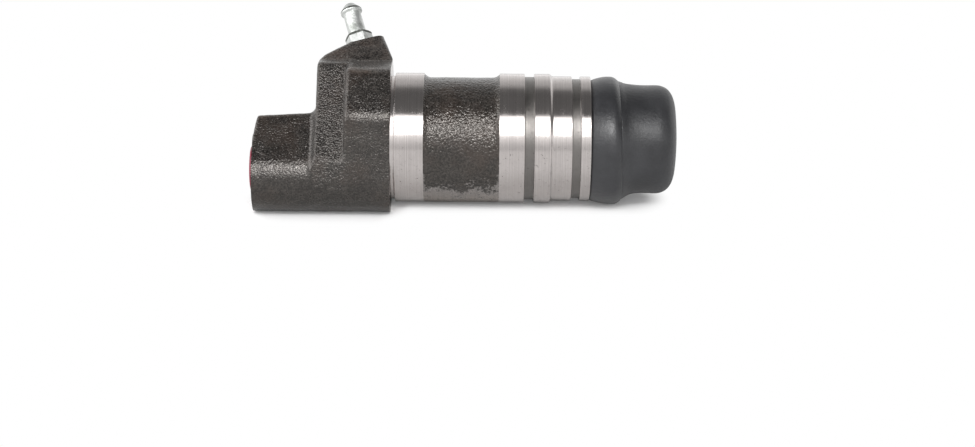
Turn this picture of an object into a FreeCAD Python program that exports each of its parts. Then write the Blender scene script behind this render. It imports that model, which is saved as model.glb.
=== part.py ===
"""Clutch slave cylinder: a cast iron cylinder that lies on its barrel and its port boss.

Each piece is drawn upright, with the bore along X and the bleed boss up, and is then laid
down by the roll angle. X = 0 is the shoulder face and the bore's axis is the X axis.
"""
import FreeCAD, Part
import Sketcher
import math
import os

SIZES = {
    # resting pose
    "roll_angle": 47.0,
    # head, column and port boss of the casting
    "head_depth": 14.6,
    "head_half_width": 21.2,
    "head_side_top": 14.7,
    "tower_top": 23.9,
    "tower_top_half": 8.2,
    "facet_angle": 33.0,
    "facet_corner": 12.0,
    "side_corner": 2.5,
    "column_depth": 9.5,
    "column_half_width": 13.1,
    "boss_length": 20.2,
    "boss_radius": 11.44,
    "boss_drop": 14.05,
    "boss_top": 2.8,
    "boss_rise": 1.1,
    "boss_edge": 1.6,
    "hill_bury": 0.2,
    "hill_corner": 3.0,
    # bleed boss and its hole
    "seat_back": 10.7,
    "seat_height": 32.55,
    "seat_front_reach": 7.6,
    "seat_back_reach": 5.0,
    "seat_half": 5.6,
    "seat_corner": 2.4,
    "bleed_tilt": 16.0,
    "bleed_thread_radius": 3.5,
    "bleed_thread_depth": 11.5,
    "bleed_drill_radius": 1.2,
    "bleed_drill_overlap": 2.15,
    "bleed_cone_angle": 30.0,
    # port
    "port_drop": 11.7,
    "port_mouth_radius": 6.6,
    "port_mouth_depth": 3.0,
    "port_thread_radius": 5.45,
    "port_thread_length": 11.5,
    "passage_radius": 1.5,
    "passage_wall": 0.2,
    # outside of the barrel
    "land_radius": 21.0,
    "relief_width": 2.05,
    "relief_depth": 1.0,
    "front_land_length": 8.65,
    "cast_length": 24.4,
    "cast_depth": 0.75,
    "cast_shift": 0.62,
    "cast_shift_angle": 17.0,
    "cast_blend": 1.6,
    "middle_land_length": 8.5,
    "groove_width": 3.1,
    "groove_depth": 1.05,
    "rear_land_length": 5.1,
    "step_length": 0.7,
    "pilot_step": 0.73,
    "pilot_land_length": 6.9,
    "pilot_groove_width": 2.7,
    "pilot_groove_depth": 0.9,
    "end_land_length": 3.3,
    "nose_radius": 17.4,
    "nose_length": 6.8,
    "end_edge": 0.4,
    "boot_groove_inset": 1.4,
    "boot_groove_width": 2.2,
    "boot_groove_depth": 1.5,
    # bore
    "bore_radius": 12.7,
    "bore_floor": 7.8,
    "mouth_chamfer": 0.6,
    "ring_groove_inset": 4.7,
    "ring_thickness": 1.5,
    "ring_groove_play": 0.1,
    "ring_groove_depth": 1.2,
    # what the bore holds
    "ring_width": 2.4,
    "ring_gap_angle": 40.0,
    "ring_lug_radius": 1.7,
    "ring_lug_hole": 0.75,
    "washer_thickness": 1.6,
    "washer_hole": 9.2,
    "slide_gap": 0.05,
    "face_gap": 0.05,
    "piston_length": 28.0,
    "piston_land_length": 6.0,
    "piston_waist_radius": 9.6,
    "piston_middle_land": 4.2,
    "seal_groove_width": 4.2,
    "seal_groove_depth": 2.6,
    "rear_flange_length": 3.6,
    "rod_socket_radius": 6.2,
    "rod_socket_depth": 12.0,
    "rod_mouth_flare": 1.5,
    "rod_seat_thickness": 5.0,
    "rod_ball_radius": 5.0,
    "rod_seat_hollow": 2.0,
    "seal_play": 0.1,
    "seal_lip": 0.6,
    "shim_thickness": 0.8,
    "cup_length": 7.0,
    "cup_base": 2.8,
    "cup_lip": 1.9,
    "cup_lip_slope": 1.3,
    "spreader_thickness": 1.0,
    "spreader_height": 3.2,
    "spring_wire_radius": 0.75,
    "spring_coil_radius": 7.4,
    "spring_end_play": 0.05,
    # dust boot
    "boot_mouth_radius": 19.2,
    "boot_peak_place": 4.4,
    "boot_peak_width": 1.8,
    "boot_peak_radius": 20.85,
    "boot_crown": 0.1,
    "boot_foot_place": 12.0,
    "boot_sleeve_radius": 17.75,
    "boot_length": 27.0,
    "boot_end_slope": 4.2,
    "boot_wall": 2.0,
    "boot_inner_slope": 3.4,
    "boot_hole": 5.0,
    "boot_play": 0.1,
    "boot_hollow_radius": 18.4,
    "boot_hollow_start": 0.4,
    "boot_hollow_rear": 0.4,
    # bleed screw
    "screw_play": 0.05,
    "hex_flats": 8.0,
    "hex_gap": 0.3,
    "hex_height": 4.4,
    "hex_chamfer": 0.45,
    "neck_radius": 2.95,
    "barb_height": 13.6,
    "barb_radius": 3.6,
    "barb_root": 0.5,
    "tip_height": 16.6,
    "tip_radius": 1.7,
    "screw_hole_radius": 0.9,
    "shank_length": 9.0,
    "shank_relief_radius": 2.6,
    "screw_point_radius": 1.3,
    "screw_hole_depth": 10.6,
    # port plug
    "plug_radius": 7.4,
    "plug_thickness": 1.0,
    "plug_edge": 0.45,
    "plug_spigot_length": 2.6,
    "plug_play": 0.05,
    "plug_recess_radius": 4.6,
    "plug_recess_depth": 2.4,
}

ROOT_THREE = math.sqrt(3.0)
CLOSED_HALVES = 2
OPEN_HALVES = 5


class Size:
    """A length or angle that carries its number and the sheet expression that gives it."""

    def __init__(self, number, text):
        self.number = number
        self.text = text

    def joined(self, sign, number, other):
        return Size(number, f"({self.text} {sign} {sized(other).text})")

    def __add__(self, other):
        return self.joined("+", self.number + sized(other).number, other)

    def __sub__(self, other):
        return self.joined("-", self.number - sized(other).number, other)

    def __mul__(self, other):
        return self.joined("*", self.number * sized(other).number, other)

    def __truediv__(self, other):
        return self.joined("/", self.number / sized(other).number, other)

    def __radd__(self, other):
        return sized(other) + self

    def __rsub__(self, other):
        return sized(other) - self

    def __rmul__(self, other):
        return sized(other) * self

    def __neg__(self):
        return Size(-self.number, f"(-1 * {self.text})")


def sized(value):
    """A plain number as a Size, and a Size as it is."""
    return value if isinstance(value, Size) else Size(float(value), str(value))


def sine(angle):
    return Size(math.sin(math.radians(angle.number)), f"sin({angle.text})")


def cosine(angle):
    return Size(math.cos(math.radians(angle.number)), f"cos({angle.text})")


def arctangent(ratio):
    return Size(math.degrees(math.atan(ratio.number)), f"atan({ratio.text})")


def tangent(angle):
    return Size(math.tan(math.radians(angle.number)), f"tan({angle.text})")


class Sheet:
    """The spreadsheet of driving dimensions: each size is an attribute by its alias."""

    def __init__(self, doc):
        sheet = doc.addObject("Spreadsheet::Sheet", "Sizes")
        for row, (alias, number) in enumerate(SIZES.items(), start=1):
            sheet.set(f"A{row}", alias.replace("_", " "))
            sheet.set(f"B{row}", str(number))
            sheet.setAlias(f"B{row}", alias)
            setattr(self, alias, Size(number, f"Sizes.{alias}"))
        doc.recompute()


DOC = FreeCAD.newDocument("clutch_slave_cylinder")
S = Sheet(DOC)


def bind(thing, name, size):
    """Tie a property, or a part of one, to the sheet."""
    thing.setExpression(name, sized(size).text)


def new_body(name):
    """An empty sub-part, laid down by the roll angle about the bore's axis."""
    body = DOC.addObject("PartDesign::Body", name)
    body.Label = name
    turn = FreeCAD.Rotation(FreeCAD.Vector(-1, 0, 0), S.roll_angle.number)
    body.Placement = FreeCAD.Placement(FreeCAD.Vector(), turn)
    bind(body, "Placement.Rotation.Angle", S.roll_angle)
    return body


def new_sketch(body, name, plane, base=(0, 0, 0), turn=None):
    """A sketch on one of the body's own planes, moved by base and turned by (axis, angle)."""
    sketch = body.newObject("Sketcher::SketchObject", f"{body.Name}_{name}")
    planes = {feature.Role: feature for feature in body.Origin.OriginFeatures}
    sketch.AttachmentSupport = [(planes[plane], "")]
    sketch.MapMode = "FlatFace"
    axis, angle = turn or ((0, 0, 1), sized(0))
    place = FreeCAD.Vector(*[sized(part).number for part in base])
    rotation = FreeCAD.Rotation(FreeCAD.Vector(*axis), angle.number)
    sketch.AttachmentOffset = FreeCAD.Placement(place, rotation)
    for letter, part in zip("xyz", base):
        if isinstance(part, Size):
            bind(sketch, f"AttachmentOffset.Base.{letter}", part)
    if turn:
        bind(sketch, "AttachmentOffset.Rotation.Angle", angle)
    return sketch


def fix_point(sketch, item, end, x, y):
    """Hold a point of the sketch at x and y."""
    for kind, axis, value in (("DistanceX", -2, sized(x)), ("DistanceY", -1, sized(y))):
        if value.text == "0.0" or value.text == "0":
            sketch.addConstraint(Sketcher.Constraint("PointOnObject", item, end, axis))
            continue
        index = sketch.addConstraint(Sketcher.Constraint(kind, -1, 1, item, end, value.number))
        bind(sketch, f"Constraints[{index}]", value)


def fix_radius(sketch, item, radius):
    index = sketch.addConstraint(Sketcher.Constraint("Radius", item, sized(radius).number))
    bind(sketch, f"Constraints[{index}]", radius)


def draw_circle(sketch, x, y, radius):
    middle = FreeCAD.Vector(sized(x).number, sized(y).number, 0)
    circle = Part.Circle(middle, FreeCAD.Vector(0, 0, 1), sized(radius).number)
    item = sketch.addGeometry(circle)
    fix_point(sketch, item, 3, x, y)
    fix_radius(sketch, item, radius)


def rounding(before, corner, after, radius):
    """The start, middle and end of the arc that rounds a corner."""
    back = (before - corner).normalize()
    ahead = (after - corner).normalize()
    half = back.getAngle(ahead) / 2
    reach = radius / math.tan(half)
    inward = (back + ahead).normalize()
    middle = corner + inward * (radius / math.sin(half) - radius)
    return corner + back * reach, middle, corner + ahead * reach


def anticlockwise_arc(start, middle, end):
    """The arc through three points, drawn anticlockwise as a sketch keeps its arcs."""
    clockwise = (middle - start).cross(end - middle).z < 0
    return Part.Arc(end, middle, start) if clockwise else Part.Arc(start, middle, end)


def join_tangent(sketch, line, line_end, arc, point):
    """Join a line's end smoothly to the end of the arc that lies there."""
    start = sketch.Geometry[arc].StartPoint
    arc_end = 1 if start.distanceToPoint(point) < 1e-6 else 2
    sketch.addConstraint(Sketcher.Constraint("Tangent", line, line_end, arc, arc_end))


def draw_loop(sketch, corners):
    """A closed outline of straight lines. A corner's third value rounds it to that radius."""
    spots = [FreeCAD.Vector(sized(c[0]).number, sized(c[1]).number, 0) for c in corners]
    count = len(corners)
    arcs = {}
    for i, corner in enumerate(corners):
        if len(corner) == 3:
            after = spots[(i + 1) % count]
            arcs[i] = rounding(spots[i - 1], spots[i], after, sized(corner[2]).number)
    first = sketch.GeometryCount
    for i in range(count):
        following = (i + 1) % count
        start = arcs[i][2] if i in arcs else spots[i]
        end = arcs[following][0] if following in arcs else spots[following]
        sketch.addGeometry(Part.LineSegment(start, end))
    for i, corner in enumerate(corners):
        line = first + i
        line_before = first + (i - 1) % count
        if i not in arcs:
            sketch.addConstraint(Sketcher.Constraint("Coincident", line_before, 2, line, 1))
            fix_point(sketch, line, 1, corner[0], corner[1])
            continue
        arc = sketch.addGeometry(anticlockwise_arc(*arcs[i]))
        tip = sketch.addGeometry(Part.Point(spots[i]), True)
        fix_point(sketch, tip, 1, corner[0], corner[1])
        sketch.addConstraint(Sketcher.Constraint("PointOnObject", tip, 1, line_before))
        sketch.addConstraint(Sketcher.Constraint("PointOnObject", tip, 1, line))
        join_tangent(sketch, line_before, 2, arc, arcs[i][0])
        join_tangent(sketch, line, 1, arc, arcs[i][2])
        fix_radius(sketch, arc, corner[2])


def draw_box(sketch, left, right, half_width, corner):
    """A rectangle with rounded corners, even about the sketch's X axis."""
    low = [(left, -half_width, corner), (right, -half_width, corner)]
    high = [(right, half_width, corner), (left, half_width, corner)]
    draw_loop(sketch, low + high)


def draw_half_disc(sketch, middle, radius):
    """Half a disc above the sketch's own X axis, centred at middle along it."""
    left = middle - radius
    right = middle + radius
    ends = [FreeCAD.Vector(left.number, 0, 0), FreeCAD.Vector(right.number, 0, 0)]
    crown = FreeCAD.Vector(middle.number, radius.number, 0)
    line = sketch.addGeometry(Part.LineSegment(*ends))
    arc = sketch.addGeometry(Part.Arc(ends[1], crown, ends[0]))
    sketch.addConstraint(Sketcher.Constraint("Coincident", line, 2, arc, 1))
    sketch.addConstraint(Sketcher.Constraint("Coincident", line, 1, arc, 2))
    fix_point(sketch, arc, 3, middle, 0)
    fix_radius(sketch, arc, radius)
    sketch.addConstraint(Sketcher.Constraint("PointOnObject", line, 1, -1))
    sketch.addConstraint(Sketcher.Constraint("PointOnObject", line, 2, -1))


def add_feature(body, kind, name, sketch, **settings):
    """A feature of the body made from a sketch, checked to change the solid."""
    DOC.recompute()
    before = body.Shape.Volume if body.Tip else 0.0
    feature = body.newObject(f"PartDesign::{kind}", f"{body.Name}_{name}")
    feature.Profile = sketch
    for setting, value in settings.items():
        if isinstance(value, Size):
            bind(feature, setting, value)
        else:
            setattr(feature, setting, value)
    DOC.recompute()
    change = feature.Shape.Volume - before
    cuts = kind in ("Pocket", "Groove")
    if not feature.isValid() or (change >= 0 if cuts else change <= 0):
        raise RuntimeError(f"{feature.Name} changed the volume by {change:.3f}")
    return feature


def revolve(body, name, corners, kind="Revolution", base=(0, 0, 0), turn=None, axis="H_Axis"):
    """Turn an outline in the upright XZ plane about an axis of its own sketch."""
    sketch = new_sketch(body, name + "_outline", "XZ_Plane", base, turn)
    draw_loop(sketch, corners)
    return add_feature(body, kind, name, sketch, ReferenceAxis=(sketch, [axis]))


def mirrored(corners):
    """The right-hand corners of an outline, followed by their mirror images."""
    left = [(-c[0], *c[1:]) for c in reversed(corners)]
    return corners + left


def side_outline(half_width, side_top, corner):
    """Half of the tower's outline across the bore: facet, flat side and sloping shoulder."""
    keel = -1 * (S.boss_drop + S.boss_radius / sine(S.facet_angle))
    slope = (S.tower_top - S.head_side_top) / (S.head_half_width - S.tower_top_half)
    facet_top = keel + half_width / tangent(S.facet_angle)
    shoulder = side_top or S.tower_top - (half_width - S.tower_top_half) * slope
    right = [
        (half_width, facet_top, corner),
        (half_width, shoulder, S.side_corner),
        (S.tower_top_half, S.tower_top),
    ]
    return [(0, keel, S.boss_radius)] + mirrored(right)


def boss_outline(sketch, top):
    """The port boss across the bore: half a circle below, flat sides and a flat top."""
    width, drop, edge = S.boss_radius, S.boss_drop, S.boss_edge
    low_left = FreeCAD.Vector(-width.number, -drop.number, 0)
    low_right = FreeCAD.Vector(width.number, -drop.number, 0)
    top_left = FreeCAD.Vector(-width.number, top.number, 0)
    top_right = FreeCAD.Vector(width.number, top.number, 0)
    bottom = FreeCAD.Vector(0, -drop.number - width.number, 0)
    right_arc = rounding(low_right, top_right, top_left, edge.number)
    left_arc = rounding(top_right, top_left, low_left, edge.number)
    shapes = [
        anticlockwise_arc(low_left, bottom, low_right),
        Part.LineSegment(low_right, right_arc[0]),
        anticlockwise_arc(*right_arc),
        Part.LineSegment(right_arc[2], left_arc[0]),
        anticlockwise_arc(*left_arc),
        Part.LineSegment(left_arc[2], low_left),
    ]
    for shape in shapes:
        sketch.addGeometry(shape)
    join_tangent(sketch, 1, 1, 0, low_right)
    join_tangent(sketch, 5, 2, 0, low_left)
    join_tangent(sketch, 1, 2, 2, right_arc[0])
    join_tangent(sketch, 3, 1, 2, right_arc[2])
    join_tangent(sketch, 3, 2, 4, left_arc[0])
    join_tangent(sketch, 5, 1, 4, left_arc[2])
    fix_point(sketch, 0, 3, 0, -drop)
    fix_radius(sketch, 0, width)
    fix_radius(sketch, 2, edge)
    fix_radius(sketch, 4, edge)
    sketch.addConstraint(Sketcher.Constraint("Vertical", 1))
    sketch.addConstraint(Sketcher.Constraint("Vertical", 5))
    sketch.addConstraint(Sketcher.Constraint("Horizontal", 3))
    index = sketch.addConstraint(Sketcher.Constraint("DistanceY", -1, 1, 3, 1, top.number))
    bind(sketch, f"Constraints[{index}]", top)


def places_along_barrel():
    """Where each turned step of the barrel starts, from the shoulder face outwards."""
    lengths = {
        "front_land": S.relief_width,
        "cast": S.front_land_length,
        "middle_land": S.cast_length,
        "groove": S.middle_land_length,
        "rear_land": S.groove_width,
        "step": S.rear_land_length,
        "pilot": S.step_length,
        "pilot_groove": S.pilot_land_length,
        "end_land": S.pilot_groove_width,
        "nose": S.end_land_length,
        "end": S.nose_length,
    }
    place = sized(0)
    places = {}
    for name, length in lengths.items():
        place = place + length
        places[name] = place
    return places


AT = places_along_barrel()
RING_FRONT = AT["end"] - S.ring_groove_inset + S.ring_groove_play
WASHER_FRONT = RING_FRONT - S.washer_thickness
PISTON_REAR = WASHER_FRONT - S.face_gap
PISTON_FRONT = PISTON_REAR - S.piston_length
SHIM_FRONT = PISTON_FRONT - S.face_gap - S.shim_thickness
CUP_REAR = SHIM_FRONT - S.face_gap
CUP_FRONT = CUP_REAR - S.cup_length
SPREADER_REAR = CUP_REAR - S.cup_base - S.face_gap
SPREADER_FACE = SPREADER_REAR - S.spreader_thickness
CAST_RADIUS = S.land_radius - S.cast_depth
PILOT_RADIUS = S.land_radius - S.pilot_step
SEAT_BASE = (-S.seat_back, S.seat_height, 0)
SEAT_TURN = ((0, 0, 1), S.bleed_tilt)


def turn_barrel(body):
    """The barrel's outside: relief, four lands, two grooves and the nose for the boot."""
    relief = S.land_radius - S.relief_depth
    floor = S.land_radius - S.groove_depth
    pilot_floor = PILOT_RADIUS - S.pilot_groove_depth
    boot_start = AT["nose"] + S.boot_groove_inset
    boot_end = boot_start + S.boot_groove_width
    boot_floor = S.nose_radius - S.boot_groove_depth
    edge = S.end_edge
    steps = [
        (0, AT["front_land"], relief),
        (AT["front_land"], AT["groove"], S.land_radius),
        (AT["groove"], AT["rear_land"], floor),
        (AT["rear_land"], AT["step"], S.land_radius),
        (AT["pilot"], AT["pilot_groove"], PILOT_RADIUS),
        (AT["pilot_groove"], AT["end_land"], pilot_floor),
        (AT["end_land"], AT["nose"] - edge, PILOT_RADIUS),
        (AT["nose"], boot_start, S.nose_radius),
        (boot_start, boot_end, boot_floor),
        (boot_end, AT["end"] - edge, S.nose_radius),
    ]
    corners = [(place, radius) for start, end, radius in steps for place in (start, end)]
    corners.insert(-6, (AT["nose"], PILOT_RADIUS - edge))
    corners.append((AT["end"], S.nose_radius - edge))
    revolve(body, "barrel", [(0, 0)] + corners + [(AT["end"], 0)])


def waist_casting(body):
    """The rough stretch between two lands, cast a little off the turned axis."""
    start, end = AT["cast"], AT["middle_land"]
    clear = S.land_radius + S.cast_shift + S.cast_blend
    aside = S.cast_shift * sine(S.cast_shift_angle)
    down = S.cast_shift * cosine(S.cast_shift_angle)
    corners = [
        (start, clear),
        (start, CAST_RADIUS + S.cast_blend),
        (start + S.cast_blend, CAST_RADIUS),
        (end - S.cast_blend, CAST_RADIUS),
        (end, CAST_RADIUS + S.cast_blend),
        (end, clear),
    ]
    revolve(body, "cast_waist", corners, "Groove", base=(0, -down, -aside))


def raise_tower(body):
    """The head at the shoulder, the narrower column behind it and the port boss."""
    head = new_sketch(body, "head_outline", "YZ_Plane")
    draw_loop(head, side_outline(S.head_half_width, S.head_side_top, S.facet_corner))
    add_feature(body, "Pad", "head", head, Length=S.head_depth, Reversed=True)
    column = new_sketch(body, "column_outline", "YZ_Plane", base=(0, 0, -S.head_depth))
    draw_loop(column, side_outline(S.column_half_width, None, S.side_corner))
    add_feature(body, "Pad", "column", column, Length=S.column_depth, Reversed=True)
    near = S.head_depth + S.column_depth
    inner = new_sketch(body, "boss_root", "YZ_Plane", base=(0, 0, -near))
    boss_outline(inner, S.boss_top + S.boss_rise)
    outer = new_sketch(body, "boss_end", "YZ_Plane", base=(0, 0, -(near + S.boss_length)))
    boss_outline(outer, S.boss_top)
    add_feature(body, "AdditiveLoft", "port_boss", inner, Sections=[(outer, [""])], Ruled=True)


def raise_bleed_boss(body):
    """The hill that runs up from the tower's top to the bleed screw's tilted seat."""
    buried = S.tower_top - S.hill_bury
    depth = S.head_depth + S.column_depth
    foot = new_sketch(body, "hill_foot", "XY_Plane", base=(0, 0, buried))
    draw_box(foot, -depth, 0, S.tower_top_half, S.hill_corner)
    tilt = ((0, -1, 0), S.bleed_tilt)
    seat = new_sketch(body, "hill_seat", "XY_Plane", (-S.seat_back, 0, S.seat_height), tilt)
    draw_box(seat, -S.seat_back_reach, S.seat_front_reach, S.seat_half, S.seat_corner)
    add_feature(body, "AdditiveLoft", "bleed_boss", foot, Sections=[(seat, [""])], Ruled=True)


def bore_casting(body):
    """The bore with its ring groove, cut from the open end."""
    end = AT["end"]
    groove = end - S.ring_groove_inset
    groove_end = groove + S.ring_thickness + S.ring_groove_play * 2
    deep = S.bore_radius + S.ring_groove_depth
    flare = S.mouth_chamfer
    corners = [
        (-S.bore_floor, 0),
        (-S.bore_floor, S.bore_radius),
        (groove, S.bore_radius),
        (groove, deep),
        (groove_end, deep),
        (groove_end, S.bore_radius),
        (end - flare, S.bore_radius),
        (end, S.bore_radius + flare),
        (end, 0),
    ]
    revolve(body, "bore", corners, "Groove")


def port_face():
    return -(S.head_depth + S.column_depth + S.boss_length)


def bore_port(body):
    """The inlet: plug seat, thread, flat bottom for the seal and the passage on to the bore."""
    thread_end = S.port_mouth_depth + S.port_thread_length
    corners = [
        (0, 0),
        (0, S.port_mouth_radius),
        (S.port_mouth_depth, S.port_mouth_radius),
        (S.port_mouth_depth, S.port_thread_radius),
        (thread_end, S.port_thread_radius),
        (thread_end, 0),
    ]
    revolve(body, "port", corners, "Groove", base=(port_face(), -S.port_drop, 0))
    low = S.bore_radius - S.passage_radius - S.passage_wall
    length = S.head_depth + S.column_depth + S.boss_length - thread_end
    passage = new_sketch(body, "passage_outline", "YZ_Plane", base=(0, 0, port_face() + thread_end))
    draw_circle(passage, 0, -low, S.passage_radius)
    add_feature(body, "Pocket", "passage", passage, Length=length - S.bore_floor / 2, Reversed=True)


def bore_bleed(body):
    """The bleed screw's hole: thread, cone seat and a small drilling into the bore."""
    cone = (S.bleed_thread_radius - S.bleed_drill_radius) / tangent(S.bleed_cone_angle)
    deep = S.bleed_thread_depth
    drill_depth = S.seat_height - S.bore_radius + S.bleed_drill_overlap
    corners = [
        (0, 0),
        (S.bleed_thread_radius, 0),
        (S.bleed_thread_radius, -deep),
        (S.bleed_drill_radius, -(deep + cone)),
        (S.bleed_drill_radius, -drill_depth),
        (0, -drill_depth),
    ]
    revolve(body, "bleed_hole", corners, "Groove", SEAT_BASE, SEAT_TURN, "V_Axis")


def cylinder_casting():
    """The one-piece casting."""
    body = new_body("cylinder_casting")
    turn_barrel(body)
    waist_casting(body)
    raise_tower(body)
    raise_bleed_boss(body)
    bore_casting(body)
    bore_port(body)
    bore_bleed(body)
    return body


def bleed_screw():
    """Hex, hose nipple with its barb, and the hidden shank that ends in a cone."""
    body = new_body("bleed_screw")
    nipple = [
        (0, S.hex_gap),
        (S.neck_radius, S.hex_gap),
        (S.neck_radius, S.barb_height - S.barb_root),
        (S.barb_radius, S.barb_height),
        (S.barb_radius, S.barb_height + S.barb_root),
        (S.tip_radius, S.tip_height),
        (0, S.tip_height),
    ]
    revolve(body, "nipple", nipple, "Revolution", SEAT_BASE, SEAT_TURN, "V_Axis")
    tilt = ((0, -1, 0), S.bleed_tilt)
    hexagon = new_sketch(body, "hex_outline", "XY_Plane", (-S.seat_back, 0, S.seat_height), tilt)
    half = S.hex_flats / 2
    corner = S.hex_flats / ROOT_THREE
    right = [(corner / 2, -half), (corner, 0), (corner / 2, half)]
    draw_loop(hexagon, mirrored(right))
    hex_top = S.hex_gap + S.hex_height
    add_feature(body, "Pad", "hex", hexagon, Length=hex_top)
    inside = half - S.hex_chamfer
    outside = corner + S.hex_chamfer
    fall = (outside - inside) / ROOT_THREE
    bevel = [(inside, hex_top), (outside, hex_top - fall), (outside, hex_top)]
    revolve(body, "hex_bevel", bevel, "Groove", SEAT_BASE, SEAT_TURN, "V_Axis")
    shank = S.bleed_thread_radius - S.screw_play
    under = [(shank, 0), (outside, 0), (outside, S.hex_gap), (shank, S.hex_gap)]
    revolve(body, "hex_relief", under, "Groove", SEAT_BASE, SEAT_TURN, "V_Axis")
    slope = tangent(S.bleed_cone_angle)
    cone_apex = S.bleed_thread_depth + shank / slope
    stem = [
        (0, S.hex_gap),
        (shank, S.hex_gap),
        (shank, -S.shank_length),
        (S.shank_relief_radius, -S.shank_length),
        (S.shank_relief_radius, S.shank_relief_radius / slope - cone_apex),
        (S.screw_point_radius, S.screw_point_radius / slope - cone_apex),
        (0, S.screw_point_radius / slope - cone_apex),
    ]
    revolve(body, "shank", stem, "Revolution", SEAT_BASE, SEAT_TURN, "V_Axis")
    radius, depth = S.screw_hole_radius, -S.screw_hole_depth
    hole = [(0, depth), (radius, depth), (radius, S.tip_height), (0, S.tip_height)]
    revolve(body, "centre_hole", hole, "Groove", SEAT_BASE, SEAT_TURN, "V_Axis")
    return body


def port_plug():
    """The hollow cap that closes the inlet, pushed into the mouth of the port."""
    body = new_body("port_plug")
    spigot = S.port_mouth_radius - S.plug_play
    face = -S.face_gap
    outside = face - S.plug_thickness
    floor = outside + S.plug_recess_depth
    corners = [
        (outside, S.plug_recess_radius),
        (outside, S.plug_radius - S.plug_edge),
        (outside + S.plug_edge, S.plug_radius),
        (face, S.plug_radius),
        (face, spigot),
        (S.plug_spigot_length, spigot),
        (S.plug_spigot_length, 0),
        (floor, 0),
        (floor, S.plug_recess_radius),
    ]
    revolve(body, "cap", corners, base=(port_face(), -S.port_drop, 0))
    return body


def retaining_ring():
    """The open ring with two eyes that keeps the washer and piston in the bore."""
    body = new_body("retaining_ring")
    outer = S.bore_radius + S.ring_groove_depth - S.ring_groove_play
    inner = outer - S.ring_width
    rear = RING_FRONT + S.ring_thickness
    corners = [(RING_FRONT, inner), (rear, inner), (rear, outer), (RING_FRONT, outer)]
    sketch = new_sketch(body, "ring_outline", "XZ_Plane")
    draw_loop(sketch, corners)
    sweep = 360 - S.ring_gap_angle
    add_feature(body, "Revolution", "ring", sketch, ReferenceAxis=(sketch, ["H_Axis"]), Angle=sweep)
    centre = outer - S.ring_lug_radius
    turns = (sized(0), S.ring_gap_angle)
    for name, turn in zip(("first", "second"), turns):
        eye_y = -1 * centre * sine(turn)
        eye_z = centre * cosine(turn)
        lug = new_sketch(body, name + "_lug_outline", "YZ_Plane", base=(0, 0, RING_FRONT))
        draw_circle(lug, eye_y, eye_z, S.ring_lug_radius)
        add_feature(body, "Pad", name + "_lug", lug, Length=S.ring_thickness)
        eye = new_sketch(body, name + "_eye_outline", "YZ_Plane", base=(0, 0, RING_FRONT))
        draw_circle(eye, eye_y, eye_z, S.ring_lug_hole)
        add_feature(body, "Pocket", name + "_eye", eye, Length=S.ring_thickness, Reversed=True)
    return body


def ring_body(name, front, rear, inner, outer):
    """A plain flat ring about the bore."""
    body = new_body(name)
    revolve(body, "ring", [(front, inner), (rear, inner), (rear, outer), (front, outer)])
    return body


def stop_washer():
    """The flat washer that the piston rests against."""
    outer = S.bore_radius - S.slide_gap
    return ring_body("stop_washer", WASHER_FRONT, RING_FRONT, S.washer_hole, outer)


def piston():
    """The piston: front land, waist, rear seal groove and the socket for the push rod."""
    body = new_body("piston")
    slide = S.bore_radius - S.slide_gap
    waist_start = PISTON_FRONT + S.piston_land_length
    groove_end = PISTON_REAR - S.rear_flange_length
    groove_start = groove_end - S.seal_groove_width
    waist_end = groove_start - S.piston_middle_land
    groove_floor = slide - S.seal_groove_depth
    socket_floor = PISTON_REAR - S.rod_socket_depth
    corners = [
        (PISTON_FRONT, 0),
        (PISTON_FRONT, slide),
        (waist_start, slide),
        (waist_start, S.piston_waist_radius),
        (waist_end, S.piston_waist_radius),
        (waist_end, slide),
        (groove_start, slide),
        (groove_start, groove_floor),
        (groove_end, groove_floor),
        (groove_end, slide),
        (PISTON_REAR, slide),
        (PISTON_REAR, S.rod_socket_radius + S.rod_mouth_flare),
        (PISTON_REAR - S.rod_mouth_flare, S.rod_socket_radius),
        (socket_floor, S.rod_socket_radius),
        (socket_floor, 0),
    ]
    revolve(body, "turned", corners)
    return body


def rod_seat():
    """The hard insert pressed into the piston's socket, hollowed for the rod's round end."""
    body = new_body("rod_seat")
    floor = PISTON_REAR - S.rod_socket_depth
    face = floor + S.rod_seat_thickness
    radius = S.rod_socket_radius
    revolve(body, "pad", [(floor, 0), (floor, radius), (face, radius), (face, 0)])
    sketch = new_sketch(body, "ball_outline", "XZ_Plane", base=(face, 0, 0))
    draw_half_disc(sketch, S.rod_ball_radius - S.rod_seat_hollow, S.rod_ball_radius)
    add_feature(body, "Groove", "ball_hollow", sketch, ReferenceAxis=(sketch, ["H_Axis"]))
    return body


def secondary_seal():
    """The rear seal: a lip ring in the piston's groove."""
    body = new_body("secondary_seal")
    outer = S.bore_radius - S.slide_gap
    end = PISTON_REAR - S.rear_flange_length - S.seal_play
    start = end - S.seal_groove_width + S.seal_play * 2
    inner = outer - S.seal_groove_depth + S.seal_play
    corners = [
        (start, inner),
        (start + S.seal_lip, inner + S.seal_lip),
        (start, outer),
        (end, outer - S.seal_lip),
        (end, inner),
    ]
    revolve(body, "lip", corners)
    return body


def cup_shim():
    """The thin disc between the piston and the cup."""
    body = new_body("cup_shim")
    outer = S.bore_radius - S.slide_gap
    rear = SHIM_FRONT + S.shim_thickness
    revolve(body, "disc", [(SHIM_FRONT, 0), (SHIM_FRONT, outer), (rear, outer), (rear, 0)])
    return body


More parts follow.
